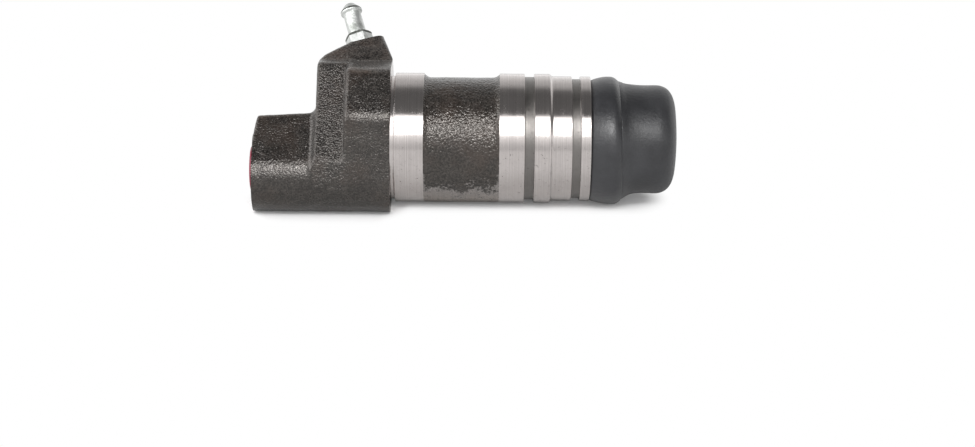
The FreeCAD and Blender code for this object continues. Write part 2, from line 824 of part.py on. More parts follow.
def primary_cup():
    """The rubber cup whose lip faces the pressure."""
    body = new_body("primary_cup")
    outer = S.bore_radius - S.slide_gap
    floor = CUP_REAR - S.cup_base
    hollow = outer - S.cup_lip
    corners = [
        (CUP_REAR, 0),
        (CUP_REAR, outer - S.cup_lip_slope / 2),
        (floor, outer - S.cup_lip_slope / 2),
        (CUP_FRONT, outer),
        (CUP_FRONT, outer - S.cup_lip / 2),
        (floor, hollow - S.cup_lip_slope),
        (floor, 0),
    ]
    revolve(body, "cup", corners)
    return body


def spring_seat():
    """The dished metal seat that spreads the cup and centres the spring."""
    body = new_body("spring_seat")
    inner = S.spring_coil_radius + S.spring_wire_radius + S.face_gap
    rim = inner + S.spreader_thickness
    top = SPREADER_REAR - S.spreader_height
    corners = [
        (SPREADER_REAR, 0),
        (SPREADER_REAR, rim),
        (top, rim),
        (top, inner),
        (SPREADER_FACE, inner),
        (SPREADER_FACE, 0),
    ]
    revolve(body, "dish", corners)
    return body


def wire_section(radius):
    """Half of the six flats around the spring's wire, from the coil's inside outwards."""
    corner = radius * 2 / ROOT_THREE
    return [(corner / 2, -radius), (corner, 0), (corner / 2, radius)]


def return_spring():
    """The coil between the bore's floor and the spring seat, with closed ends.

    Each half turn is a flat half ring, tilted by what it climbs, so neighbours meet squarely.
    """
    body = new_body("return_spring")
    inset = S.spring_wire_radius * 2 / ROOT_THREE + S.face_gap * 2
    start = inset - S.bore_floor
    end = SPREADER_FACE - inset
    closed_climb = S.spring_wire_radius + S.spring_end_play
    open_climb = (end - start - closed_climb * 2 * CLOSED_HALVES) / OPEN_HALVES
    climbs = [closed_climb] * CLOSED_HALVES + [open_climb] * OPEN_HALVES
    climbs += [closed_climb] * CLOSED_HALVES
    place = start
    for i, climb in enumerate(climbs):
        half = climb / 2
        far_side = i % 2 == 1
        tilt = arctangent(half / S.spring_coil_radius)
        reach = S.spring_coil_radius / cosine(tilt)
        turn = ((0, 0, -1 if far_side else 1), tilt)
        sketch = new_sketch(body, f"half_turn_{i}_outline", "XZ_Plane", (place + half, 0, 0), turn)
        section = [(x, y + reach) for x, y in mirrored(wire_section(S.spring_wire_radius))]
        draw_loop(sketch, section)
        settings = {"ReferenceAxis": (sketch, ["H_Axis"]), "Angle": sized(180), "Reversed": far_side}
        add_feature(body, "Revolution", f"half_turn_{i}", sketch, **settings)
        place = place + climb
    return body


def dust_boot():
    """The moulded boot: bead, bulge, sleeve and an end wall with the rod's hole."""
    body = new_body("dust_boot")
    mouth = AT["nose"] + S.boot_play
    peak = mouth + S.boot_peak_place
    foot = mouth + S.boot_foot_place
    end = mouth + S.boot_length
    inner_foot = foot + S.boot_hollow_rear
    inner_end = end - S.boot_wall
    skin = S.boot_sleeve_radius - S.boot_wall
    bore = S.nose_radius + S.boot_play
    hollow = AT["end"] + S.boot_hollow_start
    bead_start = AT["nose"] + S.boot_groove_inset + S.boot_play
    bead_end = bead_start + S.boot_groove_width - S.boot_play * 2
    bead = bore - S.boot_groove_depth
    corners = [
        (mouth, S.boot_mouth_radius),
        (peak, S.boot_peak_radius),
        (peak + S.boot_peak_width, S.boot_peak_radius - S.boot_crown),
        (foot, S.boot_sleeve_radius),
        (end - S.boot_end_slope, S.boot_sleeve_radius),
        (end, S.boot_sleeve_radius - S.boot_end_slope),
        (end, S.boot_hole),
        (inner_end, S.boot_hole),
        (inner_end, skin - S.boot_inner_slope),
        (inner_end - S.boot_inner_slope, skin),
        (inner_foot, skin),
        (hollow, S.boot_hollow_radius),
        (hollow, bore),
        (bead_end, bore),
        (bead_end, bead),
        (bead_start, bead),
        (bead_start, bore),
        (mouth, bore),
    ]
    revolve(body, "skin", corners)
    return body


BUILDERS = (
    cylinder_casting,
    bleed_screw,
    port_plug,
    return_spring,
    spring_seat,
    primary_cup,
    cup_shim,
    piston,
    rod_seat,
    secondary_seal,
    stop_washer,
    retaining_ring,
    dust_boot,
)


def check(bodies):
    """Stop unless every object computed and every sub-part is one valid solid."""
    for item in DOC.Objects:
        if "Invalid" in item.State or "Error" in item.State:
            raise RuntimeError(f"{item.Name} failed: {item.State}")
    for body in bodies:
        shape = body.Shape
        if shape.isNull() or not shape.isValid() or len(shape.Solids) != 1:
            raise RuntimeError(f"{body.Label} is not one valid solid")


def main():
    """Build each sub-part, check them all and write one STEP file for each."""
    bodies = [build() for build in BUILDERS]
    DOC.recompute()
    check(bodies)
    os.makedirs("parts", exist_ok=True)
    for body in bodies:
        body.Shape.exportStep(f"parts/{body.Label}.step")
        print(f"{body.Label}: {body.Shape.Volume:.1f} mm3")


main()
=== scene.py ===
import math

import bmesh
import bpy
import numpy as np
from mathutils import Matrix, Vector, noise


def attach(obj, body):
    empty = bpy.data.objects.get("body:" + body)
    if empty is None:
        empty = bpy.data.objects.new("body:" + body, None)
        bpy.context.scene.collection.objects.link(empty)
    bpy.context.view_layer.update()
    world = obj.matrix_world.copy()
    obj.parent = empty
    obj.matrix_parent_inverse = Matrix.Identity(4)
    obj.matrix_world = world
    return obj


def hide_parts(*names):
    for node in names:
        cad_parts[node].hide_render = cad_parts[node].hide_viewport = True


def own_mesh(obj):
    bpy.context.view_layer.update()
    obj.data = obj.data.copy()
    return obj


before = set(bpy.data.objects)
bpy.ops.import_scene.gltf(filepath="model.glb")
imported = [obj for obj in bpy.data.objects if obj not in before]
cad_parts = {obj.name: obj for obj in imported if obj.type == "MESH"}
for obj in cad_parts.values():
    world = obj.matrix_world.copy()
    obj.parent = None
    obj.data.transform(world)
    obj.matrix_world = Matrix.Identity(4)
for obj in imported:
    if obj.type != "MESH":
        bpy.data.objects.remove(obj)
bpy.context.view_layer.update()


# Studio: a pale floor under the part, a soft box on the camera's side, a dark ceiling and a
# pale backdrop, which the turned lands show as bands of light and dark.
CAMERA_DISTANCE = 0.791
CAMERA_PITCH = math.radians(24.05)
CAMERA_ROLL = math.radians(0.5)
LENS_PIXELS = 2420.0
PHOTO_SIZE = (975, 447)
ORIGIN_PIXEL = (391.65, 137.0)
SENSOR_WIDTH = 36.0
FLOOR_HEIGHT = -0.02102
FLOOR_GREY = 0.80
FLOOR_GLOW = 0.10
SEEN_WHITE = (0.005, 0.015)
MIRRORED_WHITE = (0.020, 0.050)
MIRRORED_PAPER = 0.93
MIRRORED_MATT = 0.59
FOOT_MIDDLE = 0.0185
FOOT_HALF_LENGTH = 0.0585
BOSS_SET_BACK = (0.006, -0.004, 0.0, 0.0103)
LAMPS = {
    "softbox": (Vector((0.02, -0.726, 0.688)) * 0.9, (0.75, 0.535), 2.74),
    "strip": (Vector((0.04, -0.707, 0.707)) * 0.86, (0.34, 0.13), 2.3),
    "side_box": (Vector((-0.84, -0.13, 0.53)), (0.80, 0.80), 7.2),
}
# brightness from the horizon on the camera's side (0), over the top, to the far horizon (1)
STUDIO_STOPS = [
    (0.0, 0.72), (0.05, 0.86), (0.10, 1.20), (0.15, 1.45), (0.335, 1.00), (0.352, 0.150),
    (0.60, 0.150), (0.66, 0.20), (0.705, 0.46), (0.74, 0.62), (0.79, 0.70), (0.87, 0.94),
    (0.94, 1.10), (1.0, 1.40),
]
MIX_SOCKETS = {"FLOAT": (2, 3, 0), "RGBA": (6, 7, 2)}


def feed(tree, socket, value):
    """Link a socket to another node's, or set its own value."""
    if isinstance(value, bpy.types.NodeSocket):
        tree.links.new(value, socket)
    else:
        socket.default_value = value


def place_node(tree, kind, inputs=None, **settings):
    """A shader node with its settings and its inputs, each a value or another node's socket."""
    made = tree.nodes.new(kind)
    for name, value in settings.items():
        setattr(made, name, value)
    for name, value in (inputs or {}).items():
        feed(tree, made.inputs[name], value)
    return made


def sums(tree, operation, first, second=0.0, third=0.0, clamp=False):
    """A math node's result."""
    inputs = {0: first, 1: second, 2: third}
    made = place_node(tree, "ShaderNodeMath", inputs, operation=operation, use_clamp=clamp)
    return made.outputs[0]


def spread(tree, value, start, end, low=0.0, high=1.0, easing="LINEAR"):
    """A value's run from start to end, spread from low to high and held beyond."""
    inputs = {"Value": value, "From Min": start, "From Max": end, "To Min": low, "To Max": high}
    return place_node(tree, "ShaderNodeMapRange", inputs, interpolation_type=easing).outputs[0]


def blend(tree, share, first, second, kind="RGBA"):
    """A second colour or value over a first by a share."""
    low, high, result = MIX_SOCKETS[kind]
    inputs = {0: share, low: first, high: second}
    return place_node(tree, "ShaderNodeMix", inputs, data_type=kind).outputs[result]


def ramp(tree, value, stops):
    """A colour ramp's colour, from (place, grey or colour) stops."""
    made = place_node(tree, "ShaderNodeValToRGB", {0: value})
    elements = made.color_ramp.elements
    while len(elements) < len(stops):
        elements.new(0.5)
    for element, (place, colour) in zip(elements, stops):
        element.position = place
        rgb = colour if isinstance(colour, tuple) else (colour, colour, colour)
        element.color = (*rgb, 1.0)
    return made.outputs[0]


def new_material(name):
    """A material with an empty tree, and its output node."""
    material = bpy.data.materials.new(name)
    material.use_nodes = True
    tree = material.node_tree
    tree.nodes.clear()
    return material, tree, tree.nodes.new("ShaderNodeOutputMaterial")


def background_ray(tree):
    """1 for a ray that shows the background: from the camera, a reflection or glass."""
    path = tree.nodes.new("ShaderNodeLightPath")
    seen = sums(tree, "MAXIMUM", path.outputs["Is Camera Ray"], path.outputs["Is Glossy Ray"])
    return sums(tree, "MAXIMUM", seen, path.outputs["Is Transmission Ray"])


scene = bpy.context.scene
scene.view_settings.view_transform = "Standard"

forward = Vector((0, math.cos(CAMERA_PITCH), -math.sin(CAMERA_PITCH)))
side = Vector((1, 0, 0))
upward = side.cross(forward)
right = side * math.cos(CAMERA_ROLL) + upward * math.sin(CAMERA_ROLL)
upward = upward * math.cos(CAMERA_ROLL) - side * math.sin(CAMERA_ROLL)
across = (ORIGIN_PIXEL[0] - PHOTO_SIZE[0] / 2) / LENS_PIXELS
above = (PHOTO_SIZE[1] / 2 - ORIGIN_PIXEL[1]) / LENS_PIXELS
depth = CAMERA_DISTANCE / math.sqrt(1 + across ** 2 + above ** 2)
camera_data = bpy.data.cameras.new("camera")
camera_data.sensor_width = SENSOR_WIDTH
camera_data.lens = LENS_PIXELS / PHOTO_SIZE[0] * SENSOR_WIDTH
camera_data.clip_start = 0.01
camera = bpy.data.objects.new("camera", camera_data)
turn = Matrix((right, upward, -forward)).transposed().to_4x4()
sight = (forward + right * across + upward * above) * depth
camera.matrix_world = Matrix.Translation(-sight) @ turn
scene.collection.objects.link(camera)
scene.camera = camera

for name, (place, size, power) in LAMPS.items():
    lamp_data = bpy.data.lights.new(name, "AREA")
    lamp_data.shape = "RECTANGLE"
    lamp_data.size, lamp_data.size_y = size
    lamp_data.energy = power
    lamp = bpy.data.objects.new(name, lamp_data)
    lamp.location = place
    lamp.rotation_euler = place.to_track_quat("Z", "Y").to_euler()
    lamp.visible_camera = False
    scene.collection.objects.link(lamp)

world = bpy.data.worlds.new("studio")
world.use_nodes = True
scene.world = world
tree = world.node_tree
tree.nodes.clear()
direction = place_node(tree, "ShaderNodeTexCoord").outputs["Generated"]
parts = place_node(tree, "ShaderNodeSeparateXYZ", {"Vector": direction})
toward = sums(tree, "MULTIPLY", parts.outputs["Y"], -1.0)
angle = sums(tree, "ARCTAN2", parts.outputs["Z"], toward)
studio_light = ramp(tree, sums(tree, "DIVIDE", angle, math.pi, clamp=True), STUDIO_STOPS)
path = tree.nodes.new("ShaderNodeLightPath")
lit = place_node(tree, "ShaderNodeBackground", {"Color": studio_light, "Strength": 1.0})
white = place_node(tree, "ShaderNodeBackground", {"Color": (1, 1, 1, 1), "Strength": 1.0})
chosen = place_node(tree, "ShaderNodeMixShader", {
    0: path.outputs["Is Camera Ray"], 1: lit.outputs[0], 2: white.outputs[0],
})
output = tree.nodes.new("ShaderNodeOutputWorld")
tree.links.new(chosen.outputs[0], output.inputs["Surface"])

# the floor is grey close round the part, where it takes the shadow, and white further out
bpy.ops.mesh.primitive_plane_add(size=8.0, location=(0, 0, FLOOR_HEIGHT))
floor = bpy.context.object
floor.name = "floor"
floor_material, tree, output = new_material("pale_floor")
place = place_node(tree, "ShaderNodeNewGeometry").outputs["Position"]
parts = place_node(tree, "ShaderNodeSeparateXYZ", {"Vector": place})
from_middle = sums(tree, "ABSOLUTE", sums(tree, "SUBTRACT", parts.outputs["X"], FOOT_MIDDLE))
along = sums(tree, "MAXIMUM", sums(tree, "SUBTRACT", from_middle, FOOT_HALF_LENGTH), 0.0)
beside = sums(tree, "ADD", parts.outputs["Y"], spread(tree, parts.outputs["X"], *BOSS_SET_BACK))
squares = [sums(tree, "MULTIPLY", way, way) for way in (along, beside)]
reach = sums(tree, "SQRT", sums(tree, "ADD", *squares))
seen = tree.nodes.new("ShaderNodeLightPath").outputs["Is Camera Ray"]
mirrored_fade = spread(tree, reach, *MIRRORED_WHITE, easing="SMOOTHSTEP")
seen_fade = spread(tree, reach, *SEEN_WHITE, easing="SMOOTHSTEP")
whiteness = blend(tree, seen, mirrored_fade, seen_fade, "FLOAT")
matt = place_node(tree, "ShaderNodeBsdfDiffuse", {
    "Color": spread(tree, seen, 0.0, 1.0, MIRRORED_MATT, FLOOR_GREY),
})
glow = place_node(tree, "ShaderNodeEmission", {
    "Color": (1, 1, 1, 1), "Strength": sums(tree, "MULTIPLY", seen, FLOOR_GLOW),
})
near_floor = place_node(tree, "ShaderNodeAddShader", {0: matt.outputs[0], 1: glow.outputs[0]})
paper = place_node(tree, "ShaderNodeEmission", {
    "Color": (1, 1, 1, 1), "Strength": spread(tree, seen, 0.0, 1.0, MIRRORED_PAPER, 1.0),
})
seen_floor = place_node(tree, "ShaderNodeMixShader", {
    0: whiteness, 1: near_floor.outputs[0], 2: paper.outputs[0],
})
plain = place_node(tree, "ShaderNodeBsdfDiffuse", {
    "Color": (FLOOR_GREY, FLOOR_GREY, FLOOR_GREY, 1),
})
chosen = place_node(tree, "ShaderNodeMixShader", {
    0: background_ray(tree), 1: plain.outputs[0], 2: seen_floor.outputs[0],
})
tree.links.new(chosen.outputs[0], output.inputs["Surface"])
floor.data.materials.append(floor_material)


# Casting: the head, the narrower column behind it, the port boss and the hill of the bleed
# seat are one rough iron casting with soft edges. The shoulder, the port's face and the bleed
# seat are machined flat. Sizes are millimetres, upright and from a zero just behind the shoulder.
ROLL = math.radians(47.0)
SHOULDER = 0.8
LAY_DOWN = (
    Matrix.Scale(0.001, 4) @ Matrix.Rotation(-ROLL, 4, "X") @ Matrix.Translation((-SHOULDER, 0, 0))
)
HEAD_DEPTH = 13.8
HEAD_HALF_WIDTH = 21.2
HEAD_SIDE_TOP = 14.7
HEAD_CORNERS = (8.0, 4.5)
HEAD_DRAFT = 0.0030
HEAD_DRAFT_FOOT = -2.4
HEAD_EDGE = ((0.0, 1.3), (0.25, 0.75), (0.8, 0.25), (1.5, 0.04), (2.2, 0.0))
HEAD_END = 2.3
TOWER_TOP = 23.9
TOWER_TOP_HALF = 8.2
TOWER_TOP_CORNER = 1.0
FACET_ANGLE = math.radians(33.0)
COLUMN_BACK = 23.3
COLUMN_HALF_WIDTH = 13.1
COLUMN_CORNERS = (2.5, 2.5)
COLUMN_DRAFT = 0.0008
COLUMN_DRAFT_FOOT = 4.0
COLUMN_EDGE = ((0.0, -0.6), (0.25, -0.25), (0.8, 0.0), (COLUMN_BACK - HEAD_DEPTH + 2, 0.0))
BOSS_BACK = 43.5
BOSS_RADIUS = 11.44
BOSS_DROP = 14.05
BOSS_TOP = 2.8
BOSS_TOP_CORNER = 1.6
BOSS_RISE = 1.1
BOSS_DRAFT = 0.0045
BOSS_ROOT = (-20.0, 1.9)
BOSS_FILLET = ((-0.7, 2.4), (-0.1, 2.0), (0.3, 1.35), (0.7, 0.75), (1.2, 0.28), (1.9, 0.0))
BOSS_END_SPARE = 1.5
BOSS_END_SLOPE = 0.174
SEAT_PLACE = (-9.9, 0.0, 32.55)
SEAT_TILT = math.radians(16.0)
SEAT_CORNERS = ((-5.0, -5.6, 2.4), (7.6, -5.6, 2.4), (7.6, 5.6, 2.4), (-5.0, 5.6, 2.4))
HILL_FOOT = 20.0
HILL_FRONT = 1.0
HILL_CORNERS = (1.2, 0.6)
HILL_STEPS = ((0.25, 0.75), (0.6, 0.55))
HILL_BACK = -12
HILL_BULGE = -0.8
HILL_RISE = 0.4
HILL_SPARE = 1.2
PORT_DROP = 11.7
PORT_STEPS = [(-46.0, 6.6), (-40.5, 6.6), (-40.5, 5.45), (-29.0, 5.45)]
PORT_AROUND = 96
EDGE_HEIGHTS = (-16.0, -10.0)
KEEL = -(BOSS_DROP + BOSS_RADIUS / math.sin(FACET_ANGLE))
FACET_FOOT = -(BOSS_DROP + BOSS_RADIUS * math.sin(FACET_ANGLE))
SKIN_VOXEL = 0.42
SKIN_SWELL = 0.14
SKIN_BUMPS = ((0.11, 6.0), (0.022, 2.2), (0.030, 0.85))
SKIN_SOFTENING = (0.5, 9)
CASTING_SEED = 3.0
HEAD_GRAIN = 0.00017
COLUMN_GRAIN = 0.00027
BOSS_GRAIN = 0.00014
HEAD_FROM = (-0.0150, -0.0142)
COLUMN_FROM = (-0.0250, -0.0240)
FACE_LINES = 0.000012
# painted sheen: where the casting's normal Z rises from 0.80 to 0.92, its colour is lightened from
# 1 to 2.3 times
UP_FACING_PAINTED_SHEEN = (0.80, 0.92, 1.0, 2.3)
WARM_TINT = (1.0, 0.95, 0.90, 1.0)


def held(value, low=0.0, high=1.0):
    """A number kept between two limits."""
    return max(low, min(high, value))


def link_mesh(name, mesh):
    """An object for a mesh, in the scene."""
    piece = bpy.data.objects.new(name, mesh)
    scene.collection.objects.link(piece)
    return piece


def rounded(corners, steps=7):
    """The points of an outline whose corners (x, y, radius) are rounded."""
    points = []
    for i, (x, y, radius) in enumerate(corners):
        here = Vector((x, y))
        back = (Vector(corners[i - 1][:2]) - here).normalized()
        ahead = (Vector(corners[(i + 1) % len(corners)][:2]) - here).normalized()
        if radius == 0:
            points.append((x, y))
            continue
        half = back.angle(ahead) / 2
        middle = here + (back + ahead).normalized() * (radius / math.sin(half))
        start = here + back * (radius / math.tan(half)) - middle
        end = here + ahead * (radius / math.tan(half)) - middle
        sweep = start.angle_signed(end)
        for step in range(steps + 1):
            spot = middle + Matrix.Rotation(-sweep * step / steps, 2) @ start
            points.append((spot.x, spot.y))
    return points


def tower_outline(half_width, side_top, corner, shoulder_corner):
    """Across the bore: round keel, sloping facets, flat sides and sloping shoulders."""
    slope = (TOWER_TOP - HEAD_SIDE_TOP) / (HEAD_HALF_WIDTH - TOWER_TOP_HALF)
    shoulder = side_top or TOWER_TOP - (half_width - TOWER_TOP_HALF) * slope
    facet_top = KEEL + half_width / math.tan(FACET_ANGLE)
    half = [
        (half_width, facet_top, corner), (half_width, shoulder, shoulder_corner),
        (TOWER_TOP_HALF, TOWER_TOP, TOWER_TOP_CORNER),
    ]
    return rounded([(0, KEEL, BOSS_RADIUS)] + half + [(-x, y, r) for x, y, r in reversed(half)])


def boss_outline(top):
    """Across the port boss: half a circle below, flat sides and a flat top."""
    width = BOSS_RADIUS
    turns = np.linspace(-math.pi / 2, math.pi / 2, 25)
    arc = [(width * math.sin(a), -BOSS_DROP - width * math.cos(a)) for a in turns]
    upper = rounded([
        (width, -BOSS_DROP, 0), (width, top, BOSS_TOP_CORNER), (-width, top, BOSS_TOP_CORNER),
        (-width, -BOSS_DROP, 0),
    ])[1:-1]
    return arc + [(y * (1 - (z + BOSS_DROP) * BOSS_DRAFT), z) for y, z in upper]


def drafted(outline, draft, foot):
    """An outline that narrows above its foot, as the mould needs."""
    return [(y * (1 - max(0.0, z - foot) * draft), z) for y, z in outline]


def swollen(outline, extra):
    """An outline moved out to a fillet, within the facets, or in to a broken edge above them."""
    low, high = EDGE_HEIGHTS
    moved = []
    before, after = outline[-1:] + outline[:-1], outline[1:] + outline[:1]
    for (a, b), (y, z), (c, d) in zip(before, outline, after):
        ahead = Vector((c - a, d - b)).normalized()
        if extra > 0 and z < FACET_FOOT:
            moved.append((y, z))
        elif extra > 0:
            out_y, out_z = y + ahead.y * extra, z + max(0.0, -ahead.x * extra)
            limit = max(abs(y), (out_z - KEEL) * math.tan(FACET_ANGLE))
            moved.append((held(out_y, -limit, limit), out_z))
        else:
            share = held((z - low) / (high - low))
            moved.append((y + ahead.y * extra * share, z - ahead.x * extra * share))
    return moved


def section(x, outline):
    """An outline across the bore, set at a place along it."""
    return [(x, y, z) for y, z in outline]


def loft(rings):
    """Points and faces of a closed skin through rings of equally many points."""
    count = len(rings[0])
    points = [p for ring in rings for p in ring]
    faces = []
    for i in range(len(rings) - 1):
        low, high = i * count, (i + 1) * count
        for j in range(count):
            k = (j + 1) % count
            faces.append((low + j, low + k, high + k, high + j))
    faces.append(tuple(reversed(range(count))))
    faces.append(tuple(range((len(rings) - 1) * count, len(rings) * count)))
    return points, faces


def seat_point(x, y, height):
    """A point of the tilted bleed seat's own frame, upright."""
    cosine, sine = math.cos(SEAT_TILT), math.sin(SEAT_TILT)
    along = SEAT_PLACE[0] + x * cosine - height * sine
    return (along, y, SEAT_PLACE[2] + x * sine + height * cosine)


def cast_height(spot, seed):
    """How far the sand mould's unevenness moves the skin at an upright spot."""
    offset = Vector((seed, seed * 1.7, seed * 0.6))
    return sum(depth * noise.noise(Vector(spot) / size + offset) for depth, size in SKIN_BUMPS)


def cast_skin_mesh(name, skins):
    """The rough skin over overlapping closed skins: soft edges, and uneven all over."""
    points, faces = [], []
    for skin_points, skin_faces in skins:
        faces += [tuple(i + len(points) for i in face) for face in skin_faces]
        points += skin_points
    mesh = bpy.data.meshes.new(name)
    mesh.from_pydata(points, [], faces)
    work = link_mesh(name, mesh)
    remesh = work.modifiers.new("skin", "REMESH")
    remesh.mode = "VOXEL"
    remesh.voxel_size = SKIN_VOXEL
    remesh.adaptivity = 0.0
    soften = work.modifiers.new("soften", "SMOOTH")
    soften.factor, soften.iterations = SKIN_SOFTENING
    evaluated = work.evaluated_get(bpy.context.evaluated_depsgraph_get())
    result = bpy.data.meshes.new_from_object(evaluated)
    bpy.data.objects.remove(work)
    for vertex, normal in zip(result.vertices, [Vector(n.vector) for n in result.vertex_normals]):
        vertex.co += normal * (SKIN_SWELL + cast_height(vertex.co, CASTING_SEED))
    return result


def cut_flat(made, spot, normal):
    """Cut away what lies beyond a plane and close the cut with a machined face."""
    geometry = list(made.verts) + list(made.edges) + list(made.faces)
    cut = bmesh.ops.bisect_plane(
        made, geom=geometry, plane_co=spot, plane_no=normal, clear_outer=True
    )
    rim = [item for item in cut["geom_cut"] if isinstance(item, bmesh.types.BMEdge)]
    filled = bmesh.ops.contextual_create(made, geom=rim)
    for face in filled["faces"]:
        face.material_index = 1
        face.smooth = False
        for edge in face.edges:
            edge.smooth = False


def port_solid(name, steps):
    """A closed turned solid about the port's axis, for cutting its bore."""
    rings = []
    turns = [math.tau * k / PORT_AROUND for k in range(PORT_AROUND)]
    for x, radius in steps:
        ring = [(radius * math.sin(a), -PORT_DROP + radius * math.cos(a)) for a in turns]
        rings.append(section(x, ring))
    points, faces = loft(rings)
    mesh = bpy.data.meshes.new(name)
    mesh.from_pydata(points, [], faces)
    made = bmesh.new()
    made.from_mesh(mesh)
    bmesh.ops.recalc_face_normals(made, faces=made.faces)
    made.to_mesh(mesh)
    made.free()
    return link_mesh(name, mesh)


boss_root = boss_outline(BOSS_TOP + BOSS_RISE)
boss_rings = [section(BOSS_ROOT[0], swollen(boss_root, BOSS_ROOT[1]))]
boss_rings += [section(-COLUMN_BACK - x, swollen(boss_root, extra)) for x, extra in BOSS_FILLET]
boss_rings.append([
    (-BOSS_BACK - BOSS_END_SPARE + max(0.0, z + BOSS_DROP) * BOSS_END_SLOPE, y, z)
    for y, z in boss_outline(BOSS_TOP)
])

back_corner, front_corner = HILL_CORNERS
foot = rounded([
    (-COLUMN_BACK, -TOWER_TOP_HALF, back_corner), (HILL_FRONT, -TOWER_TOP_HALF, front_corner),
    (HILL_FRONT, TOWER_TOP_HALF, front_corner), (-COLUMN_BACK, TOWER_TOP_HALF, back_corner),
])
seat = rounded(SEAT_CORNERS)
hill_rings = [[(x, y, z) for x, y in foot] for z in (HILL_FOOT, TOWER_TOP)]
for part, bulge in HILL_STEPS:
    ring = []
    for (x, y), (u, v) in zip(foot, seat):
        low, high = Vector((x, y, TOWER_TOP)), Vector(seat_point(u, v, 0.0))
        backward = 0.0 if x > HILL_BACK else HILL_BULGE
        ring.append(tuple(low.lerp(high, part) + Vector((backward, 0, HILL_RISE)) * bulge))
    hill_rings.append(ring)
hill_rings += [[seat_point(x, y, height) for x, y in seat] for height in (0.0, HILL_SPARE)]

head_outline = drafted(
    tower_outline(HEAD_HALF_WIDTH, HEAD_SIDE_TOP, *HEAD_CORNERS), HEAD_DRAFT, HEAD_DRAFT_FOOT
)
head_rings = [section(x - HEAD_DEPTH, swollen(head_outline, -inset)) for x, inset in HEAD_EDGE]
head_rings.append(section(HEAD_END, head_outline))
column_outline = tower_outline(COLUMN_HALF_WIDTH, None, *COLUMN_CORNERS)
column_rings = []
for x, wider in COLUMN_EDGE:
    ring = drafted(swollen(column_outline, wider), COLUMN_DRAFT, COLUMN_DRAFT_FOOT)
    column_rings.append(section(x - COLUMN_BACK, ring))


def new_group(name, inputs):
    """A shader group of a metal's look: its tree, its own inputs and what it gives out."""
    group = bpy.data.node_groups.new(name, "ShaderNodeTree")
    for label, value in inputs:
        kind = "NodeSocketVector" if value is None else "NodeSocketFloat"
        kind = "NodeSocketColor" if isinstance(value, tuple) else kind
        socket = group.interface.new_socket(label, in_out="INPUT", socket_type=kind)
        if value is not None:
            socket.default_value = (*value, 1.0) if isinstance(value, tuple) else value
    for label, kind in (("Colour", "Color"), ("Roughness", "Float"), ("Height", "Float")):
        group.interface.new_socket(label, in_out="OUTPUT", socket_type="NodeSocket" + kind)
    given, result = group.nodes.new("NodeGroupInput"), group.nodes.new("NodeGroupOutput")
    return group, given.outputs, result.inputs


def use_group(tree, group, inputs):
    """A look in a material with that material's own values, as sockets by name."""
    made = place_node(tree, "ShaderNodeGroup", node_tree=group)
    for name, value in inputs.items():
        feed(tree, made.inputs[name], (*value, 1.0) if isinstance(value, tuple) else value)
    return dict(made.outputs.items())


def noise_level(tree, place, scale, detail, roughness, on_line=False):
    """A noise's level at a place, or at a distance along a line."""
    inputs = {"W" if on_line else "Vector": place}
    inputs.update({"Scale": scale, "Detail": detail, "Roughness": roughness})
    kind = "1D" if on_line else "3D"
    return place_node(tree, "ShaderNodeTexNoise", inputs, noise_dimensions=kind).outputs["Fac"]


def scaled(tree, vector, scale):
    """A place or a colour times a number."""
    inputs = {0: vector, "Scale": scale}
    return place_node(tree, "ShaderNodeVectorMath", inputs, operation="SCALE").outputs[0]


def place_in_part(tree):
    """The place on the part, in metres."""
    return place_node(tree, "ShaderNodeTexCoord").outputs["Object"]


def along_bore(tree, place):
    """How far along the bore a place is."""
    return place_node(tree, "ShaderNodeSeparateXYZ", {"Vector": place}).outputs["X"]


def axis_distance(tree, place):
    """How far a place is from the bore's axis."""
    inputs = {0: place, 1: (0.0, 1.0, 1.0)}
    beside = place_node(tree, "ShaderNodeVectorMath", inputs, operation="MULTIPLY").outputs[0]
    length = place_node(tree, "ShaderNodeVectorMath", {0: beside}, operation="LENGTH")
    return length.outputs["Value"]


def coat(tree, output, height, depth, inputs):
    """The surface shader of a material, with the relief of a height."""
    relief = {"Height": height, "Distance": depth, "Strength": 1.0}
    normal = place_node(tree, "ShaderNodeBump", relief).outputs[0]
    shader = place_node(tree, "ShaderNodeBsdfPrincipled", {**inputs, "Normal": normal})
    tree.links.new(shader.outputs[0], output.inputs["Surface"])


def finish_metal(tree, output, look, depth, metallic, extra=None):
    """The surface shader with the colour, roughness and relief of a look."""
    coat(tree, output, look["Height"], depth, {
        "Base Color": look["Colour"], "Roughness": look["Roughness"], "Metallic": metallic,
        **(extra or {}),
    })


# sand-cast skin: dark oxide, rusty in patches, with a coarse grain that catches light
cast_group, cast_in, cast_out = new_group("sand_cast_skin", [
    ("Place", None), ("Dark", (0.0050, 0.0046, 0.0043)), ("Light", (0.031, 0.0275, 0.0250)),
    ("Rust", (0.036, 0.024, 0.018)),
])
tree, place = cast_group, cast_in["Place"]
grain = noise_level(tree, place, 2000.0, 1.0, 0.5)
patches = noise_level(tree, place, 260.0, 4.0, 0.6)
rusty = noise_level(tree, place, 60.0, 5.0, 0.7)
lumps = place_node(tree, "ShaderNodeTexVoronoi", {"Vector": place, "Scale": 1500.0})
mottle = sums(tree, "MULTIPLY_ADD", patches, 0.45, sums(tree, "MULTIPLY", grain, 0.9))
shade = blend(tree, spread(tree, mottle, 0.52, 0.86), cast_in["Dark"], cast_in["Light"])
shade = blend(tree, spread(tree, rusty, 0.46, 0.74, high=0.6), shade, cast_in["Rust"])
feed(tree, cast_out["Colour"], shade)
feed(tree, cast_out["Roughness"], spread(tree, patches, 0.3, 0.7, 0.12, 0.20))
lump_height = sums(tree, "MULTIPLY", lumps.outputs["Distance"], -0.35)
feed(tree, cast_out["Height"], sums(tree, "ADD", grain, lump_height))

